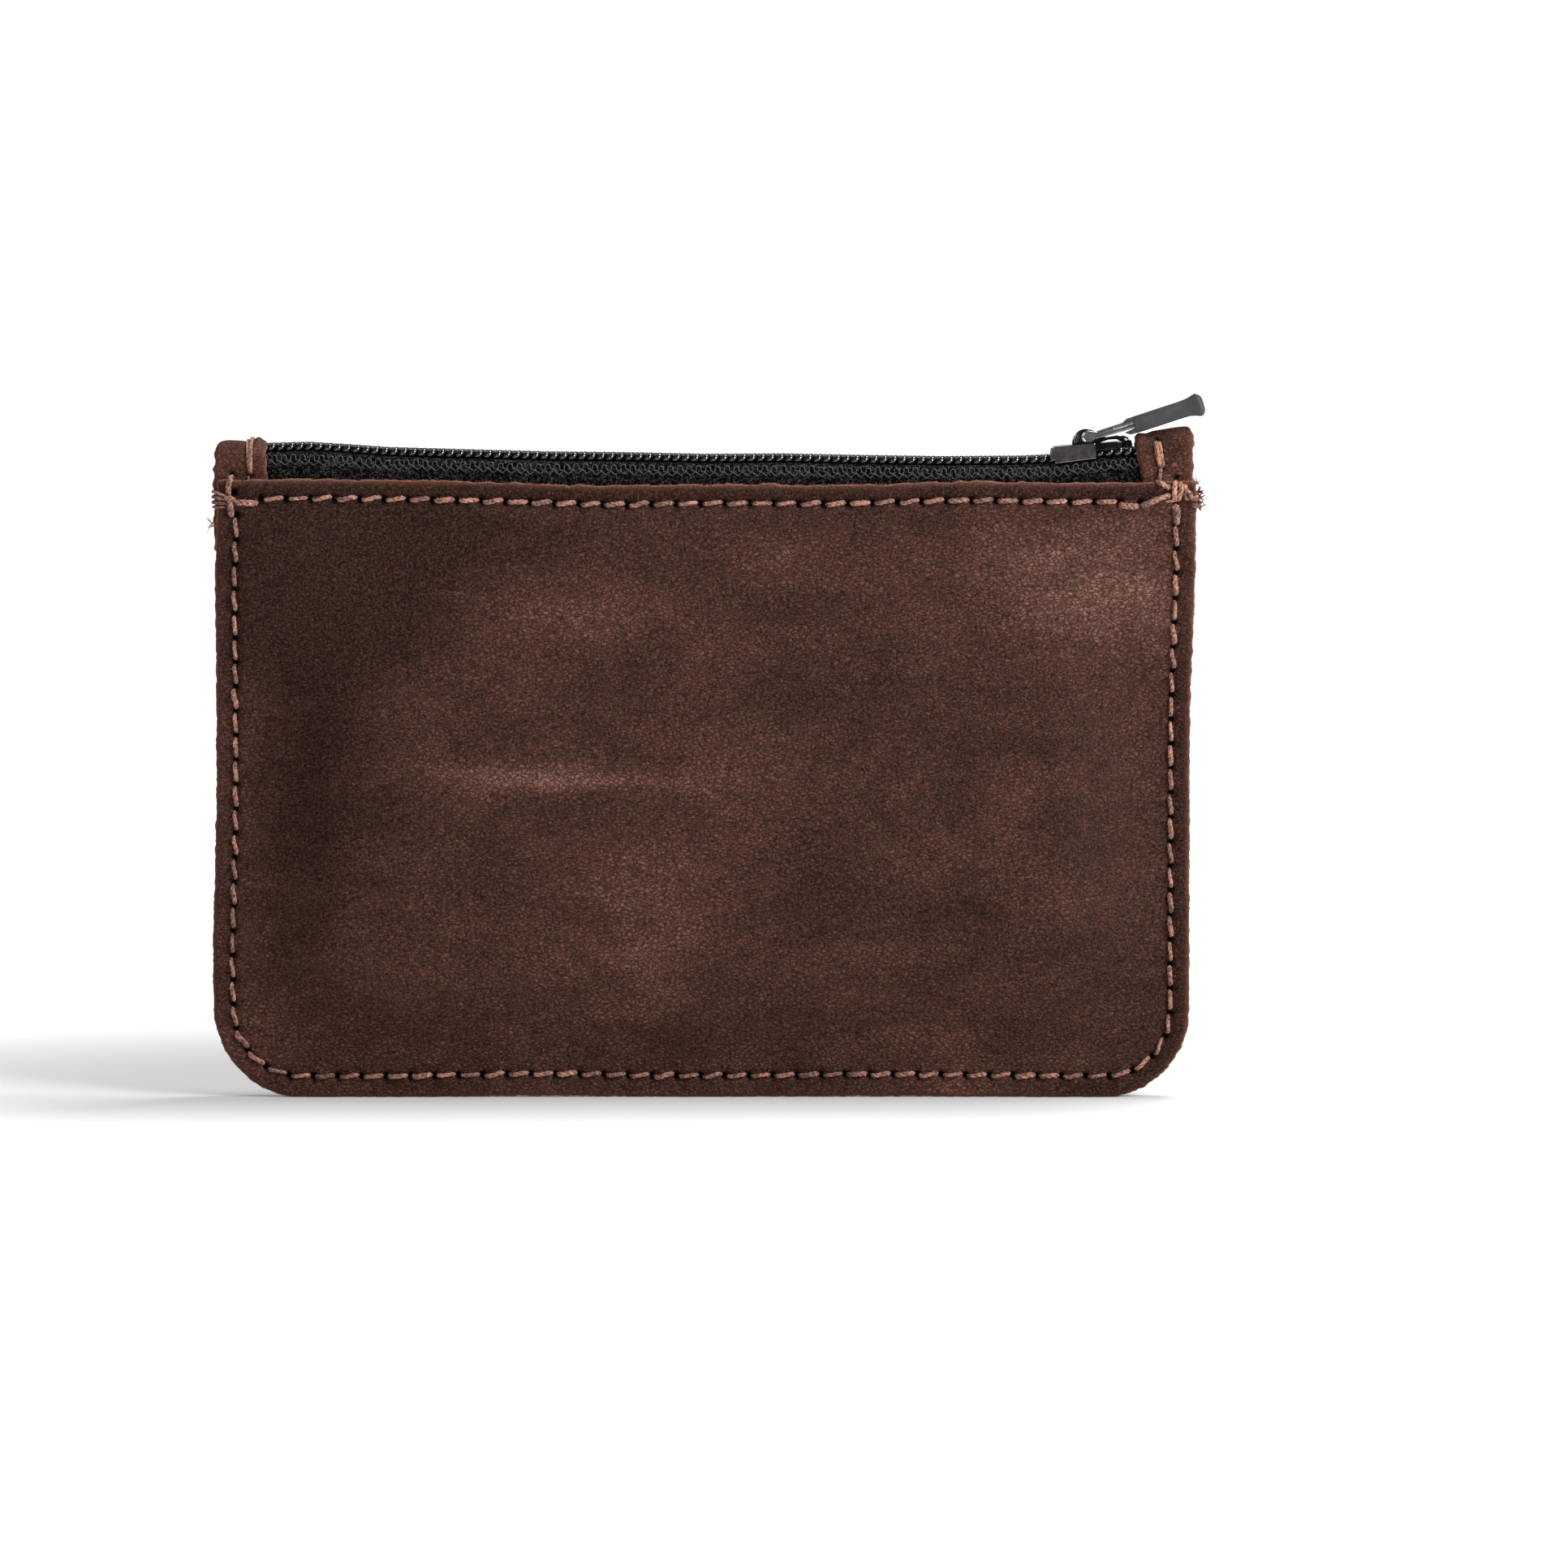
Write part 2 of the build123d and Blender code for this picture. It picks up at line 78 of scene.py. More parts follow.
panel_high = box_mm("front_panel")[1]
slider_low, slider_high = box_mm("slider_body")
left_tab_low, left_tab_high = box_mm("left_tab")
right_tab_low, right_tab_high = box_mm("right_tab")
tape_low, tape_high = box_mm("front_tape")
joints = {joint["name"]: joint for joint in frame["joints"]}
pivot = np.array(joints["pull_swing"]["pos_m"]) / MM

HALF = panel_high[0]
HEIGHT = panel_high[2]
CORNER = 11.0
LEATHER = 1.6
BULGE = 5.0
TAPE_SPREAD = 3.05
TAB_SPREAD = 3.95
TAPE_THICK = 0.5
TAPE_MIDDLE = abs(tape_low[1]) - TAPE_THICK / 2
TAPE_LIP = 0.95
TAPE_PRESS = 0.25
COIL_PITCH = 1.19
COIL_HALF = 2.1
COIL_WIRE = 0.31
COIL_RISE = 0.40
CHAIN_LOW = -59.0
CHAIN_X = (-60, -54, -50, -45, -40, -30, -20, -10, 0, 10, 20, 30, 40, 46, 49.5, 52, 60)
CHAIN_Z = (
    82.3, 82.36, 82.46, 82.16, 81.8, 81.52, 81.25, 81.15, 80.95,
    81.0, 80.8, 80.65, 80.72, 81.0, 81.55, 81.85, 82.0,
)
SKEIN_DROP = 0.12
FRONT_LEFT_TURNS = 50
FRONT_RIGHT_TURNS = 49
TAB_LEATHER = 0.9
TAB_OUTER = 3.9
TAB_FOLD = 2.2
TAB_BOTTOM = 69.5
TAB_HOLES = {
    "left_tab_leather": [(-57.3, 78.98), (-59.6, 79.1)],
    "right_tab_leather": [(57.1, 83.55), (57.72, 79.9), (59.6, 78.7)],
}
SLIDER_TILT = 5.0
SLIDER_Z = slider_high[2] - 1.1
PULL_ANGLE = 18.2
WORLD_SIDE = -0.1
WORLD_DIM = 0.14
CAMERA_X = 10.1
CAMERA_Z = 39.75
CAMERA_DISTANCE = 1.105
CAMERA_ELEVATION = 3.5
PITCH = 3.1
SIDE_INSET = 2.35
BOTTOM_INSET = 2.7
TOP_INSET = 2.2
SEAM_RADIUS = 8.0
SEAM_TOP_LEFT = 73.4
SEAM_TOP_RIGHT = 72.4
TOP_LINE_START = -56.4
TOP_LINE_END = 52.3
FINE_STEP = 0.28
COARSE = 4
EDGE_SHARES = (0.3, 0.62, 1.0)
FRONT_SEED = 3
BACK_SEED = 23
STITCH_RADIUS = 0.275
STITCH_SLANT = 0.11
STITCH_SINK = 0.08
PLY_OFFSET = 0.46
PLY_WIDTH = 0.56
HOLE_REACH = 5.2
FAR = 9.0
CHUNK = 4000
TAPE_SHOWN = 0.56
PLATE = 0.95
FLOOR = 6000.0
MOUTH_START = slider_low[0] - joints["zipper_slide"]["range_m"][1] / MM + 2.0
MOUTH_END = right_tab_low[0] - 1.0


# Small mathematics


def smooth(value):
    """Rise from 0 to 1 with a level start and end."""
    t = np.clip(value, 0.0, 1.0)
    return t * t * (3 - 2 * t)


def bell(value, width):
    """A soft bump: 1 where the value is 0, falling away over a width."""
    return np.exp(-((value / width) ** 2))


def round_over(distance, reach):
    """How far a rounded edge falls away: nearly 1 at the edge, 0 beyond its reach."""
    near = np.clip(reach - distance, 0, reach) / reach
    return 1 - np.sqrt(1 - np.minimum(near, 0.999) ** 2)


def noise(points, scale, seed):
    """Smooth random values between -1 and 1 at an (n, 3) array of points."""
    p = np.atleast_2d(points) * scale + seed * 17.137
    cell = np.floor(p).astype(np.int64)
    part = p - cell
    part = part * part * (3 - 2 * part)
    total = np.zeros(len(p))
    for corner in range(8):
        step = np.array([corner & 1, corner >> 1 & 1, corner >> 2 & 1])
        weight = np.prod(np.where(step, part, 1 - part), axis=1)
        c = cell + step
        mixed = c[:, 0] * 73856093 ^ c[:, 1] * 19349663 ^ c[:, 2] * 83492791 ^ seed * 2654435
        mixed = (mixed ^ mixed >> 13) * 1274126177
        mixed = (mixed ^ mixed >> 16) & 0xFFFF
        total += weight * (mixed / 32767.5 - 1)
    return total


def curve_through(points, samples):
    """A smooth Catmull-Rom line through a few points, sampled evenly in its parameter."""
    p = np.array(points, float)
    p = np.vstack([2 * p[0] - p[1], p, 2 * p[-1] - p[-2]])
    spans = len(p) - 3
    at = np.linspace(0, spans - 1e-9, samples)
    i = at.astype(int)
    t = (at - i)[:, None]
    a, b, c, d = p[i], p[i + 1], p[i + 2], p[i + 3]
    return 0.5 * (
        2 * b + (c - a) * t + (2 * a - 5 * b + 4 * c - d) * t**2
        + (3 * b - a - 3 * c + d) * t**3
    )


# Mesh making


class Builder:
    """Collects vertices, faces and a material index for each face, in millimetres."""

    def __init__(self):
        self.points = []
        self.faces = []
        self.slots = []
        self.count = 0

    def add(self, points, faces, slot=0):
        points = np.asarray(points, float).reshape(-1, 3)
        start = self.count
        self.points.append(points)
        self.count += len(points)
        for face in faces:
            self.faces.append([start + int(i) for i in face])
            self.slots.append(slot)
        return start

    def make(self, name, materials, smooth_shading=True, **values):
        """Make the Blender object, with its rest place and other values kept for the materials."""
        points = np.vstack(self.points)
        points[:, 2] = np.maximum(points[:, 2], 0.0)
        mesh = bpy.data.meshes.new(name)
        mesh.from_pydata((points * MM).tolist(), [], self.faces)
        for material in materials:
            mesh.materials.append(material)
        mesh.polygons.foreach_set("material_index", self.slots)
        mesh.polygons.foreach_set("use_smooth", [smooth_shading] * len(self.faces))
        rest = mesh.attributes.new("rest", "FLOAT_VECTOR", "POINT")
        rest.data.foreach_set("vector", points.astype(np.float32).ravel())
        for key, value in values.items():
            kept = mesh.attributes.new(key, "FLOAT", "POINT")
            kept.data.foreach_set("value", np.asarray(value, np.float32))
        mesh.update()
        item = bpy.data.objects.new(name, mesh)
        bpy.context.scene.collection.objects.link(item)
        return item


def grid_faces(rows, columns, flip=False):
    """Quads of a grid whose points are stored row by row."""
    faces = []
    for r in range(rows - 1):
        for c in range(columns - 1):
            a = r * columns + c
            quad = (a, a + 1, a + columns + 1, a + columns)
            faces.append(quad[::-1] if flip else quad)
    return faces


def rim_of(index):
    """The numbers round the outside of a grid, in order."""
    return np.concatenate([index[0, :-1], index[:-1, -1], index[-1, :0:-1], index[:0:-1, 0]])


def frames_along(path, reference):
    """Two directions square to a path at each of its points."""
    tangent = np.gradient(path, axis=0)
    tangent /= np.linalg.norm(tangent, axis=1)[:, None] + 1e-12
    side = reference - (tangent @ reference)[:, None] * tangent
    side /= np.linalg.norm(side, axis=1)[:, None] + 1e-12
    return side, np.cross(tangent, side)


def add_tube(builder, path, radius, reference=(0.0, 0.0, 1.0), sides=8):
    """A round tube along a path, with flat ends."""
    path = np.asarray(path, float)
    side, up = frames_along(path, np.asarray(reference, float))
    count = len(path)
    radii = np.broadcast_to(np.asarray(radius, float), (count,))
    angles = np.arange(sides) * 2 * math.pi / sides
    ring = side[:, None] * np.cos(angles)[None, :, None] + up[:, None] * np.sin(angles)[None, :, None]
    points = path[:, None] + ring * radii[:, None, None]
    faces = []
    for i in range(count - 1):
        for k in range(sides):
            n = (k + 1) % sides
            faces.append((i * sides + k, i * sides + n, (i + 1) * sides + n, (i + 1) * sides + k))
    faces.append(tuple(range(sides))[::-1])
    faces.append(tuple((count - 1) * sides + k for k in range(sides)))
    builder.add(points.reshape(-1, 3), faces)


def add_thread(builder, path, radius=0.42, plies=3, turn=2.1, phase=0.0, sides=7, reference=(0, 1, 0)):
    """A twisted thread: plies wound round a path."""
    path = np.asarray(path, float)
    steps = np.linalg.norm(np.diff(path, axis=0), axis=1)
    along = np.concatenate([[0], np.cumsum(steps)])
    side, up = frames_along(path, np.asarray(reference, float))
    radii = np.broadcast_to(np.asarray(radius, float), (len(path),))
    for ply in range(plies):
        angle = 2 * math.pi * (along / turn + ply / plies) + phase
        around = side * np.cos(angle)[:, None] + up * np.sin(angle)[:, None]
        add_tube(builder, path + radii[:, None] * PLY_OFFSET * around, radii * PLY_WIDTH, reference, sides)


def add_fibre(builder, start, direction, length, radius, curl):
    """A short loose fibre that leaves the surface and bends away."""
    direction = np.asarray(direction, float)
    direction /= np.linalg.norm(direction)
    bend = random.normal(size=3)
    bend -= direction * (bend @ direction)
    bend /= np.linalg.norm(bend) + 1e-9
    t = np.linspace(0, 1, 6)[:, None]
    path = np.asarray(start) + direction * length * t + bend * length * curl * t**2
    thin = radius * (1 - 0.6 * t[:, 0])
    add_tube(builder, path, thin, bend, 3)


# Shape of the pouch


def edge_distance(x, z, radius):
    """Distance inside the sides and bottom, with corners of a given radius."""
    across = np.abs(x) - (HALF - radius)
    below = radius - z
    corner = radius - np.hypot(np.maximum(across, 0), np.maximum(below, 0))
    plain = np.minimum(HALF - np.abs(x), z)
    return np.where((across > 0) & (below > 0), corner, plain)


def spread(x, z):
    """How far the inner faces stand off the middle plane: seam, bulge, and tape or tab at the top."""
    rise = smooth((z - 42) / 26)
    at_side = 0.05 + (TAB_SPREAD - 0.05) * rise
    at_middle = BULGE + (TAPE_SPREAD - BULGE) * smooth((z - 34) / 36)
    rim = 3.4 + 4.6 * rise
    inside = smooth((edge_distance(x, z, 20.0) - rim) / 14.0)
    return at_side + (at_middle - at_side) * inside


def drift(x, z):
    """Move ideal panel points to the real, slightly uneven outline."""
    right = np.clip(x / HALF, 0, 1)
    left = np.clip(-x / HALF, 0, 1)
    lean_right = -0.62 + 0.48 * smooth((z - 46) / 24) + 0.15 * smooth((z - 72) / 4)
    lean_left = 0.33 + 0.12 * smooth((z - 45) / 15) + 0.25 * smooth((z - 66) / 5)
    lean_left -= 0.55 * bell(z - 17, 13)
    new_x = x + right * lean_right + left * lean_left
    top = 0.02 + 0.50 * (x / HALF) ** 2 + 0.35 * bell(x + 46, 12) + 0.08 * np.sin(x * 0.21 + 1.0)
    top += 0.24 * bell(x + 36, 15) + 0.22 * bell(x - 32, 14)
    bottom = 0.30 * bell(x + 20, 12) + 0.25 * bell(x - 22, 16)
    share = z / HEIGHT
    return new_x, z + top * share + bottom * (1 - share)


def seam_holes():
    """Needle holes down the left side, along the bottom and up the right, as ideal x and z."""
    side_x = HALF - SIDE_INSET
    low = BOTTOM_INSET + SEAM_RADIUS
    quarter = SEAM_RADIUS * math.pi / 2
    flat = 2 * (side_x - SEAM_RADIUS)
    ends = np.cumsum([SEAM_TOP_LEFT - low, quarter, flat, quarter, SEAM_TOP_RIGHT - low])
    holes = []
    for s in np.linspace(0, ends[-1], round(ends[-1] / PITCH) + 1):
        if s <= ends[0]:
            holes.append((-side_x, SEAM_TOP_LEFT - s))
        elif s <= ends[1]:
            turn = (s - ends[0]) / SEAM_RADIUS
            run, drop = SEAM_RADIUS * (1 - math.cos(turn)), SEAM_RADIUS * math.sin(turn)
            holes.append((-side_x + run, low - drop))
        elif s <= ends[2]:
            holes.append((-side_x + SEAM_RADIUS + s - ends[1], BOTTOM_INSET))
        elif s <= ends[3]:
            turn = (s - ends[2]) / SEAM_RADIUS
            run, drop = SEAM_RADIUS * math.sin(turn), SEAM_RADIUS * math.cos(turn)
            holes.append((side_x - SEAM_RADIUS + run, low - drop))
        else:
            holes.append((side_x, low + s - ends[3]))
    return np.array(holes)


def top_holes():
    """Needle holes of the line under the top edge."""
    count = round((TOP_LINE_END - TOP_LINE_START) / PITCH)
    x = np.linspace(TOP_LINE_START, TOP_LINE_END, count + 1)
    return np.column_stack([x, np.full(count + 1, HEIGHT - TOP_INSET)])


SEAM_HOLES = seam_holes()
TOP_HOLES = top_holes()
CORNER_HOLES = np.array([(-59.9, 76.2), (59.5, 75.4), (55.0, 75.2)])
ALL_HOLES = np.vstack([SEAM_HOLES, TOP_HOLES, CORNER_HOLES])


def hole_gaps(x, z):
    """Distance from each place on a panel to its nearest needle hole."""
    border = np.minimum(edge_distance(x, z, CORNER), HEIGHT - z)
    close = np.flatnonzero(border < HOLE_REACH)
    gaps = np.full(len(x), FAR)
    spot = np.column_stack([x[close], z[close]])
    for start in range(0, len(close), CHUNK):
        piece = spot[start:start + CHUNK]
        gap = np.linalg.norm(piece[:, None] - ALL_HOLES[None], axis=2).min(axis=1)
        gaps[close[start:start + CHUNK]] = gap
    return gaps


def waved(depth, ideal, seed):
    """A skin's depth with its broad, soft waves."""
    return depth + 0.16 * noise(ideal, 0.055, seed) + 0.05 * noise(ideal, 0.22, seed + 1)


def skin_depth(x, z, seed):
    """How far the outer face lies off the middle plane, with dents, furrows and soft waves."""
    ideal = np.column_stack([x, np.full(len(x), seed * 40.0), z])
    depth = waved(spread(x, z) + LEATHER, ideal, seed)
    depth += 0.03 * noise(ideal, 0.9, seed + 2)
    rim = edge_distance(x, z, CORNER)
    furrow = bell(rim - 2.5, 0.6) * (z < HEIGHT - 3)
    furrow = np.maximum(furrow, bell(HEIGHT - z - TOP_INSET, 0.6) * (np.abs(x) < HALF - 2))
    depth -= 0.07 * furrow
    depth -= 0.30 * round_over(np.minimum(rim, HEIGHT - z), 0.5)
    gaps = hole_gaps(x, z)
    return depth - 1.2 * bell(gaps, 0.38) - 0.12 * bell(gaps, 0.95)


# Lighter and darker clouds of the front panel: x, z, half width, half height, strength. They hold the
# leather's own cloudy tone and also painted light and shade: lighter towards the top right, where the light
# falls, and darker at the top left, a painted highlight along the crease at z 40.5, and lighter bands low
# down where the bulge turns away from the light.
FRONT_TONE_AND_LIGHT = (
    (51, 64, 13, 7, 0.42), (38, 69, 16, 5, 0.18), (14, 69, 9, 4, 0.16), (-14, 62, 11, 5, 0.22),
    (-20, 40.5, 17, 1.6, 0.38), (-17, 13, 12, 7, 0.12), (-57, 34, 4, 20, 0.12), (-48, 58, 13, 6, -0.26),
    (24, 60, 10, 5, 0.14), (-46, 68, 15, 8, -0.48), (-2, 64, 7, 5, -0.08), (28, 73, 8, 4, -0.16),
    (-45, 36, 10, 7, -0.18), (-5, 22, 9, 10, 0.22), (-40, 8, 10, 5, -0.12), (-24, 72, 8, 3, -0.12),
    (6, 42, 8, 7, 0.24), (-30, 9, 30, 5, 0.10), (30, 10, 30, 6, 0.08), (4, 58, 10, 5, 0.10),
    (-48, 42, 14, 30, -0.11), (13, 50, 13, 5, -0.17), (16, 28, 9, 9, -0.14), (-6, 15, 6, 4, 0.14),
)


# The back takes the front's clouds turned round, painted light and shade included.
BACK_TONE_AND_LIGHT = tuple(
    (-0.9 * x, 80 - z, wide * 1.2, tall * 1.2, strength) for x, z, wide, tall, strength in FRONT_TONE_AND_LIGHT
)


def cloud_shade(x, z, clouds):
    """How light the leather is painted, from 0 to 1, before the finer mottling: its own tone together with
    the clouds' painted light and shade, darker in a band along the top and the right edge.
    """
    total = np.full(len(x), 0.40)
    for centre_x, centre_z, wide, tall, strength in clouds:
        total += strength * np.exp(-(((x - centre_x) / wide) ** 2) - ((z - centre_z) / tall) ** 2)
    on_top = smooth((z - HEIGHT + 2.5) / 0.7)
    on_right = smooth((2.3 - edge_distance(x, z, CORNER)) / 0.7) * smooth((x - 30) / 25)
    return total - 0.24 * np.maximum(on_top, on_right)


def skin_point(side, x, z, lift):
    """Points off the outer face of a panel, at ideal x and z, without the needle dents."""
    x, z = np.atleast_1d(x).astype(float), np.atleast_1d(z).astype(float)
    ideal = np.column_stack([x, np.full(len(x), FRONT_SEED * 40.0), z])
    depth = waved(spread(x, z) + LEATHER - STITCH_SINK, ideal, FRONT_SEED)
    real_x, real_z = drift(x, z)
    return np.column_stack([real_x, side * (depth + lift), real_z])


def panel_lines(low_x, high_x):
    """Grid lines of a panel: across, a tenth of a stitch apart, and up, finest at the seams."""
    across = np.linspace(low_x, high_x, int(round((high_x - low_x) / FINE_STEP / 4)) * 4 + 1)
    up = np.concatenate([
        np.linspace(0, 4.8, 20, endpoint=False),
        np.linspace(4.8, 73.0, 176, endpoint=False),
        np.linspace(73.0, HEIGHT, 21),
    ])
    return across, up


def round_corners(u, v):
    """Bend the lower corners of a square grid into round ones."""
    a = np.clip((np.abs(u) - (HALF - CORNER)) / CORNER, 0, 1)
    b = np.clip((CORNER - v) / CORNER, 0, 1)
    x = np.sign(u) * (np.minimum(np.abs(u), HALF - CORNER) + CORNER * a * np.sqrt(1 - b * b / 2))
    z = np.where(b > 0, CORNER - CORNER * b * np.sqrt(1 - a * a / 2), v)
    return x, z


def outward_of(x, z):
    """Directions straight out of a closed outline."""
    outline = np.column_stack([x, z])
    run = np.roll(outline, -1, axis=0) - np.roll(outline, 1, axis=0)
    run /= np.linalg.norm(run, axis=1)[:, None] + 1e-9
    return np.column_stack([run[:, 1], -run[:, 0]])


def add_cut_edge(build, side, loop, rim, outward, free, place, seed):
    """Rings of the cut edge, slightly swollen and fuzzy, from the outer face to the inner one."""
    rim_x, rim_z, outer, inner = rim
    length = len(loop)
    previous = loop
    for share in EDGE_SHARES:
        fuzz = 0.10 * noise(place + share * 31, 1.7, seed + 8)
        fuzz = fuzz + 0.06 * noise(place + share * 17, 4.1, seed + 9)
        swell = 0.16 * math.sin(math.pi * min(share, 0.9)) + fuzz
        if share == 1.0:
            swell = -0.05 + 0.5 * fuzz
        start = build.add(np.column_stack([
            rim_x + outward[:, 0] * swell * free,
            side * (inner + (outer - inner) * (1 - share)),
            rim_z + outward[:, 1] * swell * free,
        ]), [])
        current = np.arange(start, start + length)
        for i in range(length):
            j = (i + 1) % length
            face = [previous[i], current[i], current[j], previous[j]]
            build.faces.append([int(k) for k in (face if side == FRONT else face[::-1])])
            build.slots.append(1)
        previous = current
    return previous


def rim_corners(corners, on_rim, ring):
    """A border face's corners, with every point of the rim's ring between two of them."""
    face = []
    for k, corner in enumerate(corners):
        face.append(corner)
        if on_rim[k]:
            first = corner - ring[0]
            steps = (corners[(k + 1) % 4] - corner) % len(ring)
            face += [int(ring[(first + n) % len(ring)]) for n in range(1, steps)]
    return face


def add_flesh(build, side, index, loop, ring, inside):
    """The plain inner face: a coarser grid joined to the last ring of the cut edge."""
    inner_index = index[::COARSE, ::COARSE]
    interior = np.ones(inner_index.shape, bool)
    interior[0] = interior[-1] = interior[:, 0] = interior[:, -1] = False
    number = build.add(inside[inner_index[interior]], [])
    position = {int(node): i for i, node in enumerate(loop)}
    lookup = {}
    for r, c in np.ndindex(inner_index.shape):
        if interior[r, c]:
            lookup[r, c] = number
            number += 1
        else:
            lookup[r, c] = int(ring[position[int(inner_index[r, c])]])
    last_row, last_column = inner_index.shape[0] - 1, inner_index.shape[1] - 1
    for r, c in np.ndindex(last_row, last_column):
        corners = [lookup[r, c], lookup[r, c + 1], lookup[r + 1, c + 1], lookup[r + 1, c]]
        on_rim = (r == 0, c + 1 == last_column, r + 1 == last_row, c == 0)
        face = rim_corners(corners, on_rim, ring)
        build.faces.append(face[::-1] if side == FRONT else face)
        build.slots.append(1)
    return int(interior.sum())


def make_panel(name, side, low_x, high_x, seed, clouds, materials):
    """A leather panel or half of one: fine outer face, ragged cut edge and plain flesh side."""
    across, up = panel_lines(low_x, high_x)
    u, v = (grid.ravel() for grid in np.meshgrid(across, up))
    x, z = round_corners(u, v)
    outer = skin_depth(x, z, seed)
    real_x, real_z = drift(x, z)
    index = np.arange(len(u)).reshape(len(up), len(across))
    loop = rim_of(index)
    outward = outward_of(real_x[loop], real_z[loop])
    cut = (np.abs(u[loop]) < 1e-6) if low_x * high_x == 0 else np.zeros(len(loop), bool)
    free = np.where(cut, 0.0, 1.0)
    place = np.column_stack([real_x[loop], np.full(len(loop), seed * 9.0), real_z[loop]])
    rag = 0.10 * noise(place, 0.9, seed + 5) + 0.07 * noise(place, 2.3, seed + 6)
    rag = rag + smooth((z[loop] - HEIGHT + 2) / 2) * 0.12 * noise(place, 0.6, seed + 7)
    shift = (rag * free)[:, None] * outward
    real_x[loop] += shift[:, 0]
    real_z[loop] += shift[:, 1]
    build = Builder()
    build.add(np.column_stack([real_x, side * outer, real_z]), grid_faces(*index.shape, flip=side == BACK), 0)
    rim = (real_x[loop], real_z[loop], outer[loop], spread(x[loop], z[loop]))
    ring = add_cut_edge(build, side, loop, rim, outward, free, place, seed)
    inside = np.column_stack([real_x, side * spread(x, z), real_z])
    inner_count = add_flesh(build, side, index, loop, ring, inside)
    worn = np.exp(-np.minimum(edge_distance(x, z, CORNER), HEIGHT - z) / 0.3)
    tone = np.concatenate([worn, np.ones(len(EDGE_SHARES) * len(loop)), np.full(inner_count, 0.6)])
    unseen = (0, build.count - len(u))
    # Painted shade: the needle holes are coloured black, as shade inside each hole.
    hole = np.pad(bell(hole_gaps(x, z), 0.46), unseen)
    # The clouds' tone and their painted light and shade, kept for the material.
    shade = np.pad(cloud_shade(x, z, clouds), unseen)
    item = build.make(name, materials, tone=tone, hole=hole, shade=shade)
    if cut.any():
        sharpen_cut(item)
    return item


def sharpen_cut(item):
    """Keep the shading even across the plane where two halves of a piece meet."""
    mesh = item.data
    count = len(mesh.vertices)
    places = np.empty(count * 3)
    mesh.vertices.foreach_get("co", places)
    at_cut = np.abs(places.reshape(-1, 3)[:, 0]) < 1e-7
    ends = np.empty(len(mesh.edges) * 2, int)
    mesh.edges.foreach_get("vertices", ends)
    sharp = at_cut[ends.reshape(-1, 2)].all(axis=1)
    mark = mesh.attributes.get("sharp_edge") or mesh.attributes.new("sharp_edge", "BOOLEAN", "EDGE")
    mark.data.foreach_set("value", sharp)


# Stitching


def stitch_path(side, first, second, slant):
    """The path of one stitch: out of one hole, over the leather and down the next."""
    half_s = np.array([0.10, 0.13, 0.16, 0.185, 0.21, 0.25, 0.31, 0.40, 0.5])
    half_lift = np.array([-1.5, -1.05, -0.6, -0.2, 0.08, 0.24, 0.30, 0.32, 0.33])
    s = np.concatenate([half_s, 1 - half_s[-2::-1]])
    lift = np.concatenate([half_lift, half_lift[-2::-1]])
    first, second = np.asarray(first, float), np.asarray(second, float)
    run = second - first
    across = np.array([-run[1], run[0]]) / (np.linalg.norm(run) + 1e-9)
    flat = first + run * s[:, None]
    flat += across * (slant * np.sin(2 * math.pi * (s - 0.5)))[:, None]
    return skin_point(side, flat[:, 0], flat[:, 1], lift)


def make_stitches(name, side, holes, material, keep, fuzz=1):
    """A row of twisted-thread stitches, with a few loose fibres."""
    build = Builder()
    for first, second in zip(holes, holes[1:]):
        if not keep((first[0] + second[0]) / 2):
            continue
        slant = STITCH_SLANT + 0.05 * random.normal()
        path = stitch_path(side, first, second, slant)
        path += random.normal(size=3) * 0.02
        width = STITCH_RADIUS + 0.025 * random.normal()
        swell = 1 + 0.12 * np.sin(np.linspace(0, math.pi, len(path)))
        add_thread(build, path, width * swell, phase=random.uniform(0, 6.28), turn=random.uniform(1.8, 2.6))
        for _ in range(fuzz):
            start = path[random.integers(4, 13)]
            direction = (random.normal() * 0.5, side, 0.5 + random.normal() * 0.7)
            add_fibre(build, start, direction, random.uniform(0.3, 1.0), 0.022, random.uniform(0.2, 1.2))
    return build.make(name, [material])


# Materials


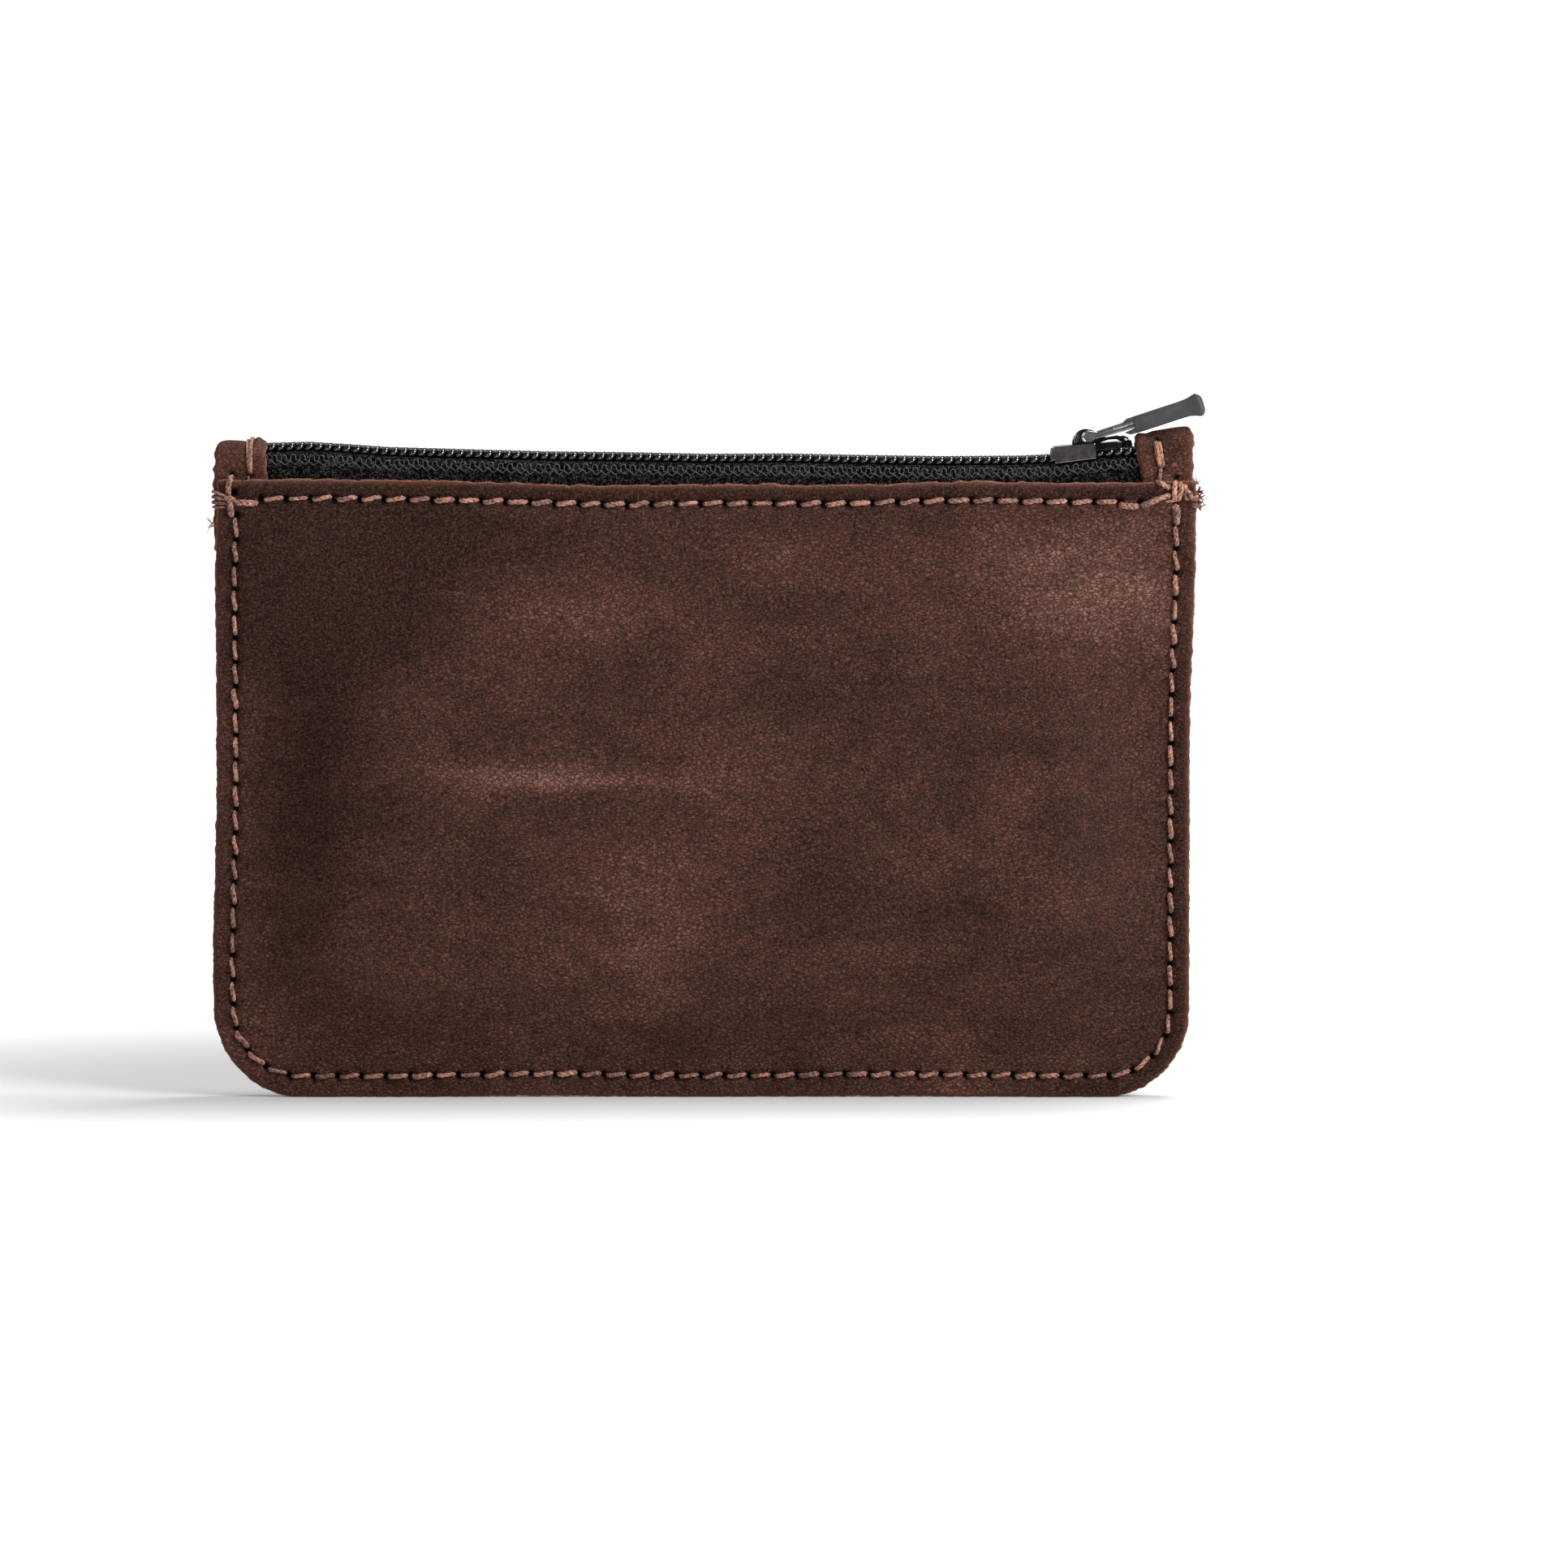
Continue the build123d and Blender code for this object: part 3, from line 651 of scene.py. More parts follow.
class Nodes:
    """Short helpers for the node tree of a material or of the surroundings."""

    def __init__(self, owner, shader):
        self.owner = owner
        owner.use_nodes = True
        self.tree = owner.node_tree
        self.shader = self.tree.nodes[shader]

    def node(self, kind, inputs=None, **settings):
        made = self.tree.nodes.new(kind)
        for key, value in settings.items():
            setattr(made, key, value)
        for key, value in (inputs or {}).items():
            self.put(made.inputs[key], value)
        return made

    def put(self, socket, value):
        if isinstance(value, bpy.types.NodeSocket):
            self.tree.links.new(value, socket)
        else:
            socket.default_value = value

    def look(self, **values):
        """Give the shader its values and hand over what it belongs to."""
        for key, value in values.items():
            self.put(self.shader.inputs[key.replace("_", " ")], value)
        return self.owner

    def vector_math(self, operation, first, second):
        return self.node("ShaderNodeVectorMath", {0: first, 1: second}, operation=operation).outputs[0]

    def kept(self, name):
        """A value that the mesh keeps at its points."""
        return self.node("ShaderNodeAttribute", attribute_name=name).outputs["Fac"]

    def rest(self, scale=(1, 1, 1)):
        """Rest place in millimetres, stretched."""
        place = self.node("ShaderNodeAttribute", attribute_name="rest")
        return self.vector_math("MULTIPLY", place.outputs["Vector"], scale)

    def bent_rest(self, scale, detail, amount):
        """Rest place pushed about softly, so that what lies on it doesn't line up."""
        shift = self.node("ShaderNodeTexNoise", {"Vector": self.rest(), "Scale": scale, "Detail": detail})
        wobble = self.vector_math("MULTIPLY", shift.outputs["Color"], (amount, amount, amount))
        return self.vector_math("ADD", self.rest(), wobble)

    def cells(self, place, scale, randomness):
        """Distance from the walls of uneven cells."""
        inputs = {"Vector": place, "Scale": scale, "Randomness": randomness}
        return self.node("ShaderNodeTexVoronoi", inputs, feature="DISTANCE_TO_EDGE").outputs["Distance"]

    def ease(self, value, start, end, low, high):
        """A soft step from low to high as a value goes from start to end."""
        inputs = {"Value": value, "From Min": start, "From Max": end, "To Min": low, "To Max": high}
        return self.node("ShaderNodeMapRange", inputs, interpolation_type="SMOOTHSTEP").outputs["Result"]

    def noise(self, scale, detail=3.0, roughness=0.55, stretch=(1, 1, 1), distortion=0.0):
        made = self.node(
            "ShaderNodeTexNoise",
            {"Vector": self.rest(stretch), "Scale": scale, "Detail": detail,
             "Roughness": roughness, "Distortion": distortion},
        )
        return made.outputs["Fac"]

    def ramp(self, value, stops):
        made = self.node("ShaderNodeValToRGB", {"Fac": value})
        while len(made.color_ramp.elements) < len(stops):
            made.color_ramp.elements.new(0.5)
        for element, (place, colour) in zip(made.color_ramp.elements, stops):
            element.position = place
            if not isinstance(colour, (tuple, list)):
                colour = (colour, colour, colour)
            element.color = (*colour, 1)
        return made.outputs["Color"]

    def math(self, operation, first, second=0.0):
        made = self.node("ShaderNodeMath", {0: first, 1: second}, operation=operation)
        return made.outputs[0]

    def mix(self, share, first, second, blend="MIX"):
        made = self.node("ShaderNodeMix", data_type="RGBA", blend_type=blend)
        self.put(made.inputs["Factor"], share)
        for socket, value in ((made.inputs[6], first), (made.inputs[7], second)):
            self.put(socket, (*value, 1) if isinstance(value, tuple) else value)
        return made.outputs[2]

    def fade(self, value, start, end, first, second):
        """From one colour to another as a value goes from start to end."""
        return self.mix(self.ramp(value, [(start, 0.0), (end, 1.0)]), first, second)

    def shaded(self, share, base, value, *stops):
        """A colour made darker and lighter by a value."""
        return self.mix(share, base, self.ramp(value, stops), "MULTIPLY")

    def bump(self, height, distance_mm, strength=1.0, under=None):
        inputs = {"Height": height, "Distance": distance_mm * MM, "Strength": strength}
        if under is not None:
            inputs["Normal"] = under
        return self.node("ShaderNodeBump", inputs).outputs["Normal"]


def material_nodes(name):
    return Nodes(bpy.data.materials.new(name), "Principled BSDF")


def leather_grain(name, dark, warm, light):
    """Pull-up leather: cloudy dark brown, lighter in places from its own tone and from painted light, with a
    fine pebbled grain, painted glints, and needle holes painted black as shade.
    """
    n = material_nodes(name)
    shade, tone, hole = n.kept("shade"), n.kept("tone"), n.kept("hole")
    clouds = n.noise(0.06, 5.0, 0.62, (0.8, 1, 1.2), 0.8)
    streaks = n.noise(0.12, 5.0, 0.7, (0.35, 1, 1.5), 0.6)
    # The kept shade brings the clouds' tone and painted light and shade into the colour.
    patch = n.math("ADD", shade, n.math("MULTIPLY", n.math("SUBTRACT", clouds, 0.5), 0.9))
    patch = n.math("ADD", patch, n.math("MULTIPLY", n.math("SUBTRACT", streaks, 0.5), 0.45))
    base = n.fade(patch, 0.18, 0.58, dark, warm)
    base = n.fade(patch, 0.55, 1.0, base, light)
    turned = {"Rotation": (0, math.radians(32), 0), "Scale": (0.72, 1.0, 1.3)}
    slanted = n.node("ShaderNodeMapping", {"Vector": n.bent_rest(0.9, 3.0, 0.9), **turned}).outputs[0]
    cells = n.cells(slanted, 1.9, 1.0)
    pebble = n.ramp(cells, [(0.0, 0.0), (0.14, 0.5), (0.34, 1.0)])
    mottle = n.noise(0.8, 4.0, 0.7)
    speck = n.noise(2.3, 5.0, 0.85)
    base = n.shaded(1.0, base, pebble, (0.0, 0.26), (1.0, 1.36))
    base = n.shaded(0.6, base, mottle, (0.3, 0.62), (0.7, 1.35))
    base = n.shaded(1.0, base, speck, (0.40, 0.45), (0.60, (1.50, 1.46, 1.42)))
    # Painted glints: small light specks added to the colour as highlights on the grain.
    painted_glint = n.noise(3.3, 4.0, 0.9)
    base = n.mix(1.0, base, n.ramp(painted_glint, [(0.47, 0.0), (0.64, (0.059, 0.0275, 0.0205))]), "ADD")
    base = n.mix(n.math("MULTIPLY", tone, 0.55), base, (0.12, 0.046, 0.030))
    # Painted shade: near-black colour in the needle holes.
    base = n.fade(hole, 0.32, 0.58, base, (0.002, 0.0012, 0.001))
    creases = n.noise(0.7, 6.0, 0.7, (1, 1, 1), 1.2)
    normal = n.bump(creases, 0.20, 0.5)
    normal = n.bump(pebble, 0.14, 0.7, normal)
    normal = n.bump(speck, 0.06, 0.7, normal)
    rough = n.math("ADD", 0.40, n.math("MULTIPLY", mottle, 0.28))
    return n.look(
        Base_Color=base, Roughness=rough, Normal=normal, Specular_IOR_Level=0.11,
        Specular_Tint=(1.0, 0.80, 0.70, 1),
    )


def leather_raw(name, colour, deep):
    """Cut edge and flesh side: lighter, matt and fibrous."""
    n = material_nodes(name)
    fibre = n.noise(2.4, 5.0, 0.75, (1, 1, 1), 0.5)
    patch = n.noise(0.35, 3.0, 0.6)
    base = n.fade(fibre, 0.3, 0.7, deep, colour)
    base = n.shaded(0.45, base, patch, (0.3, 0.55), (0.7, 1.3))
    return n.look(
        Base_Color=base, Roughness=0.9, Specular_IOR_Level=0.2,
        Normal=n.bump(fibre, 0.22, 0.8),
    )


def thread_look():
    """Waxed tan thread, dark and light in uneven strands; the wide range from dark to light paints highlight
    and shade onto the thread along with its own uneven colour.
    """
    n = material_nodes("tan_thread")
    strands = n.noise(2.6, 4.0, 0.75, (1, 1, 1))
    patch = n.noise(0.3, 3.0)
    # Painted highlight and shade: the light end stands for the thread's highlights and the dark end for its
    # shade, mixed with its own uneven colour.
    base = n.fade(strands, 0.38, 0.62, (0.040, 0.015, 0.009), (0.50, 0.235, 0.155))
    base = n.shaded(0.8, base, patch, (0.35, 0.45), (0.65, 1.3))
    fine = n.noise(9.0, 3.0, 0.7)
    return n.look(
        Base_Color=base, Roughness=0.62, Specular_IOR_Level=0.35,
        Sheen_Weight=0.15, Normal=n.bump(fine, 0.08, 0.8),
    )


def tape_look():
    """Black knitted zipper tape: small raised loops with grey glints painted on them as highlights."""
    n = material_nodes("black_tape")
    rings = n.cells(n.bent_rest(1.3, 2.0, 0.8), 2.6, 0.9)
    loop = n.ramp(rings, [(0.0, 0.0), (0.10, 0.15), (0.22, 1.0), (0.42, 0.3)])
    twist = n.noise(2.2, 3.0, 0.7)
    raised = n.math("MULTIPLY", loop, n.ramp(twist, [(0.44, 0.05), (0.60, 1.0)]))
    # Painted highlight: the raised loops are coloured grey as glints on the black tape.
    base = n.mix(raised, (0.0008, 0.0008, 0.0010), (0.085, 0.085, 0.090))
    return n.look(
        Base_Color=base, Roughness=0.5, Specular_IOR_Level=n.math("MULTIPLY", raised, 0.4),
        Normal=n.bump(raised, 0.30, 0.9),
    )


def sewing_look():
    """Dull black sewing thread of the tapes."""
    n = material_nodes("black_thread")
    marks = n.noise(4.0, 3.0, 0.7)
    base = n.ramp(marks, [(0.42, 0.002), (0.62, 0.06)])
    return n.look(Base_Color=base, Roughness=0.5, Specular_IOR_Level=0.5, Normal=n.bump(marks, 0.05, 0.6))


def nylon_look():
    """Glossy black nylon of the coils."""
    n = material_nodes("black_nylon")
    marks = n.noise(3.0, 3.0)
    rough = n.math("ADD", 0.08, n.math("MULTIPLY", marks, 0.12))
    return n.look(
        Base_Color=(0.003, 0.003, 0.0034, 1), Roughness=rough, Specular_IOR_Level=1.0,
        Normal=n.bump(marks, 0.01, 0.4),
    )


def metal_look(name, dark, light):
    """Nickel plating, rubbed and finely scratched."""
    n = material_nodes(name)
    wear = n.noise(0.9, 4.0, 0.65)
    lines = n.noise(3.5, 3.0, 0.6, (0.3, 1, 3.0))
    base = n.fade(wear, 0.35, 0.7, dark, light)
    rough = n.math("ADD", 0.12, n.math("MULTIPLY", lines, 0.12))
    return n.look(
        Base_Color=base, Metallic=1.0, Roughness=rough,
        Normal=n.bump(lines, 0.004, 0.5),
    )


def grip_look():
    """Matt dark grey moulded rubber."""
    n = material_nodes("grey_grip")
    grain = n.noise(5.0, 3.0, 0.7)
    patch = n.noise(0.7, 3.0)
    base = n.fade(patch, 0.3, 0.7, (0.024, 0.024, 0.027), (0.042, 0.042, 0.046))
    return n.look(
        Base_Color=base, Roughness=0.5, Specular_IOR_Level=0.35,
        Normal=n.bump(grain, 0.05, 0.7),
    )


def stage_look():
    """White paper floor with painted light: it glows softly away from the object, so that it has no horizon,
    and a little just in front of it.
    """
    n = material_nodes("white_ground")
    place = n.rest()
    away = n.node("ShaderNodeVectorMath", {0: place}, operation="LENGTH").outputs["Value"]
    depth = n.node("ShaderNodeSeparateXYZ", {0: place}).outputs["Y"]
    glow = n.ease(away, 60.0, 240.0, 0.14, 1.0)
    behind = n.ease(depth, -500.0, -60.0, 0.10, 1.0)
    # Painted light: extra glow on the floor just in front of the object, lifting the shade there.
    before = n.ease(depth, -45.0, -5.0, 0.13, 0.0)
    glow = n.math("MULTIPLY", n.math("ADD", glow, before), behind)
    fibre = n.noise(0.4, 4.0, 0.6)
    return n.look(
        Base_Color=(0.57, 0.57, 0.57, 1), Roughness=0.8, Specular_IOR_Level=0.1,
        Emission_Color=(1, 1, 1, 1), Emission_Strength=glow, Normal=n.bump(fibre, 0.05, 0.2),
    )


# Zipper


def chain_z(x):
    """Height of the middle of the zipper chain, which sags a little towards the slider."""
    return np.interp(x, CHAIN_X, CHAIN_Z)


def coil_offset(x):
    """How far a coil stands off its meshed place past the slider, where it lies open."""
    return 0.95 * smooth((x - 48.5) / 4.0)


def coil_path(side, low_x, high_x):
    """One continuous flattened helix whose heads reach just over the middle plane."""
    per_turn = 22
    turns = (high_x - low_x) / COIL_PITCH
    t = np.arange(int(round(turns)) * per_turn + 1) / per_turn
    phase = t % 1.0
    angle = 2 * math.pi * phase
    ramp = smooth((phase - 0.20) / 0.42)
    x = low_x + COIL_PITCH * (np.floor(t) + 0.4 * ramp + 0.6 * phase)
    head = 0.34
    bend = COIL_HALF - COIL_WIRE
    middle, reach = (bend - head) / 2, (bend + head) / 2
    flat = np.sign(np.cos(angle)) * np.abs(np.cos(angle)) ** 0.72
    y = side * (middle - reach * flat + coil_offset(x))
    z = chain_z(x) - COIL_RISE * np.sin(angle) * (1 + 0.12 * np.cos(angle))
    z -= SKEIN_DROP * (side == BACK)
    z += 0.07 * bell(phase - 0.66, 0.09)
    lean = 0.10 * (z - chain_z(x)) / COIL_RISE
    return np.column_stack([x + lean, y, z]), phase


def make_coil(name, side, low_x, high_x, shift, material):
    """Half of a zipper's chain: one nylon wire, thicker at each head."""
    path, phase = coil_path(side, low_x + shift, high_x + shift)
    near_head = np.minimum(phase, 1 - phase)
    radius = COIL_WIRE * (1 + 0.12 * bell(near_head, 0.05) + 0.24 * bell(phase - 0.52, 0.2))
    build = Builder()
    add_tube(build, path, radius, (0.0, 0.0, 1.0), 9)
    return build.make(name, [material])


def coil_sewing(name, side, low_x, high_x, material):
    """Two rows of black stitches that hold a coil down on its tape."""
    build = Builder()
    turns = int(round((high_x - low_x) / COIL_PITCH))
    t = np.linspace(0, turns, turns * 8 + 1)
    x = low_x + COIL_PITCH * t
    wave = np.cos(2 * math.pi * t)
    for row, y in enumerate((0.98, 1.42)):
        z = chain_z(x) + COIL_RISE + 0.08 + 0.08 * wave * (1 if row else -1)
        path = np.column_stack([x, side * (y + 0.06 * np.sin(2 * math.pi * t) + coil_offset(x)), z])
        add_tube(build, path, 0.13, (0.0, 0.0, 1.0), 6)
    on_tape = TAPE_MIDDLE + 0.3 * coil_offset(x) + TAPE_THICK / 2 + 0.02
    rough = 0.12 * noise(np.column_stack([x, x * 0, x * 0 + 9.0 * side]), 1.1, 43)
    for level, reach, shift in ((-1.2, 0.36, 0.0), (-1.85, 0.30, 1.9)):
        z = chain_z(x) + level + rough + reach * np.cos(2 * math.pi * t + shift)
        path = np.column_stack([x + 0.12 * np.sin(4 * math.pi * t), side * on_tape, z])
        add_tube(build, path, 0.09, (0.0, 1.0, 0.0), 6)
    return build.make(name, [material])


def core_cord(name, side, low_x, high_x, material):
    """The twisted filler cord that runs inside a coil."""
    x = np.linspace(low_x, high_x, int((high_x - low_x) / 0.35))
    path = np.column_stack([x, side * (1.05 + coil_offset(x)), chain_z(x)])
    build = Builder()
    add_thread(build, path, 0.16, plies=2, turn=0.9, sides=5)
    return build.make(name, [material])


def tape_profile(x, share):
    """A point of the tape's middle surface: up behind the panel, then over under the coil."""
    top = chain_z(x) - COIL_RISE - COIL_WIRE - TAPE_THICK / 2 + TAPE_PRESS
    corner = 0.55
    outer = TAPE_MIDDLE + 0.3 * coil_offset(x)
    wall = top - corner - tape_low[2]
    arc = corner * math.pi / 2
    flat = outer - corner - TAPE_LIP
    s = share * (wall + arc + flat)
    turn = np.clip((s - wall) / corner, 0, math.pi / 2)
    beyond = np.maximum(s - wall - arc, 0)
    y = outer - corner * (1 - np.cos(turn)) - beyond
    z = tape_low[2] + np.minimum(s, wall) + corner * np.sin(turn)
    across = np.column_stack([np.zeros(len(x)), np.cos(turn), np.sin(turn)])
    return y, z, across


def make_tape(name, side, low_x, high_x, material):
    """Knitted tape, a little wavy, folded over at its top under the coil."""
    hidden = np.linspace(0, TAPE_SHOWN, 7, endpoint=False)
    shown = np.linspace(TAPE_SHOWN, 1.0, 34)
    shares = np.concatenate([hidden, shown])
    across = np.linspace(low_x, high_x, int((high_x - low_x) / 0.26))
    columns, rows = len(across), len(shares)
    x, share = np.meshgrid(across, shares)
    x, share = x.ravel(), share.ravel()
    y, z, normal = tape_profile(x, share)
    place = np.column_stack([x, share * 16, np.full(len(x), 3.0 * side)])
    wave = 0.10 * noise(place, 0.12, 41) * smooth(share / 0.3)
    knit = 0.05 * noise(place, 1.9, 42) + 0.03 * np.sin(x * 2 * math.pi / 0.52) * np.sin(share * 16 * 6.6)
    build = Builder()
    outer = np.column_stack([x, y, z]) + normal * (TAPE_THICK / 2 + wave + knit)[:, None]
    inner = np.column_stack([x, y, z]) - normal * (TAPE_THICK / 2 - wave)[:, None]
    for points, flipped in ((outer, False), (inner, True)):
        points[:, 1] *= side
        build.add(points, grid_faces(rows, columns, flip=(side == BACK) != flipped))
    total = rows * columns
    loop = rim_of(np.arange(total).reshape(rows, columns))
    for a, b in zip(loop, np.roll(loop, -1)):
        face = [int(a), int(a) + total, int(b) + total, int(b)]
        build.faces.append(face if side == FRONT else face[::-1])
        build.slots.append(0)
    item = build.make(name, [material])
    sharpen_cut(item)
    return item


# Leather tabs over the zipper's ends


def tab_rows():
    """Rows up the front of a folded tab, over its fold and down its back: side, height share, turn."""
    wall = np.linspace(0, 1, 42, endpoint=False)
    rows = [(FRONT, share, 0.0) for share in wall]
    rows += [(0, 1.0, turn) for turn in np.linspace(0, math.pi, 26)]
    return rows + [(BACK, share, 0.0) for share in wall[::-1]]


def tab_row(row, u, low_x, high_x, top_of, edges):
    """One row across a tab's outer face, and the direction out of it."""
    side, share, turn = row
    shoulder = top_of(low_x + (high_x - low_x) * u) - TAB_FOLD
    if side:
        z = TAB_BOTTOM + (shoulder - TAB_BOTTOM) * share
        y = np.full(len(u), side * TAB_OUTER)
        normal = np.array([0.0, side, 0.0])
    else:
        z = shoulder + TAB_FOLD * np.sin(turn) ** 0.9
        y = np.full(len(u), -TAB_OUTER * np.cos(turn))
        normal = np.array([0.0, -np.cos(turn), np.sin(turn)])
    x = edges[0](z, y) * (1 - u) + edges[1](z, y) * u
    return np.column_stack([x, y, z]), normal


def tab_holes_gap(skin, holes):
    """Distance of each place on a tab from its nearest needle hole."""
    gaps = [np.hypot(skin[:, 0] - hole_x, skin[:, 2] - hole_z) for hole_x, hole_z in holes]
    return np.minimum.reduce([*gaps, np.full(len(skin), FAR)])


def make_tab(name, low_x, high_x, top_of, edges, seed, materials):
    """A strip of thin leather folded over the chain, with uneven raw edges."""
    u = np.linspace(0, 1, 34)
    rim = np.minimum(u, 1 - u) * (high_x - low_x)
    outer, inner = [], []
    for row in tab_rows():
        base, normal = tab_row(row, u, low_x, high_x, top_of, edges)
        place = base * (1, 0.7, 1)
        swell = 0.10 * noise(place, 0.28, seed) + 0.05 * noise(place, 0.8, seed + 1)
        swell -= 0.28 * round_over(rim, 0.5)
        outer.append(base + normal * swell[:, None])
        inner.append(base - normal * TAB_LEATHER)
    count = len(outer)
    skin = np.concatenate(outer)
    for hole_x, hole_z in TAB_HOLES[name]:
        gap = np.hypot(skin[:, 0] - hole_x, skin[:, 2] - hole_z)
        dent = 0.5 * bell(gap, 0.42) + 0.12 * bell(gap, 1.0)
        skin[:, 1] += np.where(skin[:, 1] < 0, dent, -dent)
    build = Builder()
    build.add(skin, grid_faces(count, len(u)), 0)
    build.add(np.concatenate(inner), grid_faces(count, len(u), flip=True), 1)
    total = len(skin)
    loop = rim_of(np.arange(total).reshape(count, len(u)))
    middle = (build.points[0][loop] + build.points[1][loop]) / 2
    push = 0.10 + 0.14 * noise(middle, 1.9, seed + 3)
    middle[:, 0] += np.sign(middle[:, 0] - (low_x + high_x) / 2) * push
    ring = build.add(middle, [])
    for k in range(len(loop)):
        after = (k + 1) % len(loop)
        a, b = int(loop[k]), int(loop[after])
        build.faces.append([a, ring + k, ring + after, b])
        build.faces.append([ring + k, a + total, b + total, ring + after])
        build.slots += [1, 1]
    tone = np.concatenate([np.exp(-np.tile(rim, count) / 0.6), np.full(total, 0.6), np.ones(len(loop))])
    unseen = (0, total + len(loop))
    # Painted shade: the tab's needle holes are coloured black, as shade inside each hole.
    hole = np.pad(bell(tab_holes_gap(skin, TAB_HOLES[name]), 0.36), unseen)
    shade = np.pad(0.45 + 0.25 * noise(skin, 0.25, seed + 7), unseen)
    return build.make(name, materials, tone=tone, hole=hole, shade=shade)


def left_tab_top(x):
    ridge = 0.45 * bell(x + 56.3, 0.75)
    pinch = 0.16 * bell(x + 57.5, 0.45)
    return 83.3 + ridge - pinch - 0.2 * smooth((-60.8 - x) / 1.2)


def rounded_edge(z, top, corner):
    """How far a side edge draws in towards its rounded top corner."""
    lift = np.clip((z - (top - corner)) / corner, 0, 1)
    return corner * (1 - np.sqrt(1 - lift**2))


def left_tab_outer(z, y):
    wave = 0.10 * np.sin(z * 1.1) + 0.07 * np.sin(z * 3.1 + y)
    return left_tab_low[0] + 0.16 + wave + 0.8 * rounded_edge(z, 83.4, 1.3)


def left_tab_inner(z, y):
    return left_tab_high[0] - 0.45 + 0.12 * np.sin(z * 0.9 + 0.5) + 0.07 * np.sin(z * 2.7 + y)


def right_tab_top(x):
    return 84.2 + 0.85 * smooth((x - 54.6) / 7.0) - 0.12 * bell(x - 56.4, 0.5)


def right_tab_inner(z, y):
    fold = 0.65 * smooth((z - 79) / 4.5)
    return right_tab_low[0] + 0.1 - fold + 0.10 * np.sin(z * 1.3) + 0.06 * np.sin(z * 3.7)


def right_tab_outer(z, y):
    wave = 0.06 * np.sin(z * 1.9 + 0.4) + 0.05 * np.sin(z * 4.3 + y)
    return right_tab_high[0] - 0.25 + wave - 0.45 * rounded_edge(z, 85.1, 0.5)


# Slider and pull


def add_outline(build, outline, axis, low, high, bevel, segments=3, slot=0):
    """A plate of any outline, thickened along one axis and bevelled all round."""
    shape = bmesh.new()
    places = []
    for first, second in outline:
        spot = [first, second]
        spot.insert(axis, low)
        places.append(shape.verts.new(spot))
    face = shape.faces.new(places)
    grown = bmesh.ops.extrude_face_region(shape, geom=[face])
    moved = [v for v in grown["geom"] if isinstance(v, bmesh.types.BMVert)]
    offset = [0.0, 0.0, 0.0]
    offset[axis] = high - low
    bmesh.ops.translate(shape, verts=moved, vec=offset)
    bmesh.ops.recalc_face_normals(shape, faces=shape.faces)
    rims = [e for e in shape.edges if abs(e.verts[0].co[axis] - e.verts[1].co[axis]) < 1e-6]
    sharp = [e for e in shape.edges if e not in rims and e.calc_face_angle(0) > 0.5]
    bmesh.ops.bevel(
        shape, geom=rims + sharp, offset=bevel, segments=segments, affect="EDGES", profile=0.5,
        clamp_overlap=True,
    )
    shape.verts.index_update()
    points = [tuple(v.co) for v in shape.verts]
    faces = [[v.index for v in f.verts] for f in shape.faces]
    shape.free()
    build.add(points, faces, slot)


def block_outline(low, high):
    """The four corners of a rectangle."""
    return [(low[0], low[1]), (high[0], low[1]), (high[0], high[1]), (low[0], high[1])]


def arc_points(centre, radius, start, end, count):
    """Points on an arc or ellipse, angles in degrees."""
    turn = np.radians(np.linspace(start, end, count))
    rx, ry = (radius, radius) if np.isscalar(radius) else radius
    return list(zip(centre[0] + rx * np.cos(turn), centre[1] + ry * np.sin(turn)))


def slider_tilt(points):
    """The slider rides nose up on the chain by a few degrees."""
    angle = math.radians(SLIDER_TILT)
    x, z = points[:, 0] - slider_low[0], points[:, 2] - SLIDER_Z
    turned = points.copy()
    turned[:, 0] = slider_low[0] + x * math.cos(angle) - z * math.sin(angle)
    turned[:, 2] = SLIDER_Z + x * math.sin(angle) + z * math.cos(angle)
    return turned


def tilt_all(build):
    build.points = [slider_tilt(p) for p in build.points]


def add_slab(build, outline, side, near, far, bevel):
    """An outline in X and Z made solid on one side, between two distances from the middle plane."""
    low, high = sorted((side * near, side * far))
    add_outline(build, outline, 1, low, high, bevel)


def plate_outline(half, rear, nose, waist):
    """A slider plate seen from above: square rear, wide shoulders and a round nose."""
    upper = [(rear, half - 0.5), (rear + 0.5, half), (waist, half)]
    upper += arc_points((waist, 0.0), (nose - waist, half), 78, 12, 6)
    tip = [(nose, 0.0)]
    lower = [(x, -y) for x, y in upper[::-1]]
    return upper + tip + lower


def make_slider_body(material, shaded_material):
    build = Builder()
    rear, nose = slider_low[0], slider_high[0]
    half = slider_high[1]
    low_z, high_z = slider_low[2], slider_high[2] - 0.12
    # The top plate takes the darker copy of the metal: painted shade.
    add_outline(build, plate_outline(half, rear, nose, rear + 7.6), 2, high_z - PLATE, high_z, 0.12, slot=1)
    lower = plate_outline(half - 0.75, rear + 0.1, nose - 0.2, rear + 5.5)
    add_outline(build, lower, 2, low_z, low_z + 0.6, 0.16)
    end = rear + 5.3
    flange = [(rear, 80.38), (end, 80.62), (end, high_z + 0.03), (rear, high_z + 0.03)]
    heel = [(rear - 0.55, 81.15), (rear + 0.2, 80.6), (rear + 0.2, high_z - 0.1), (rear - 0.2, high_z - 0.2)]
    for side in (FRONT, BACK):
        add_slab(build, flange, side, half - 0.62, half + 0.02, 0.11)
        add_slab(build, heel, side, half - 0.9, half - 0.25, 0.12)
    post = block_outline((nose - 2.8, -0.7), (nose - 0.4, 0.7))
    add_outline(build, post, 2, low_z + 0.4, high_z - 0.4, 0.3)
    tilt_all(build)
    return build.make("slider_shell", [material, shaded_material], smooth_shading=False)


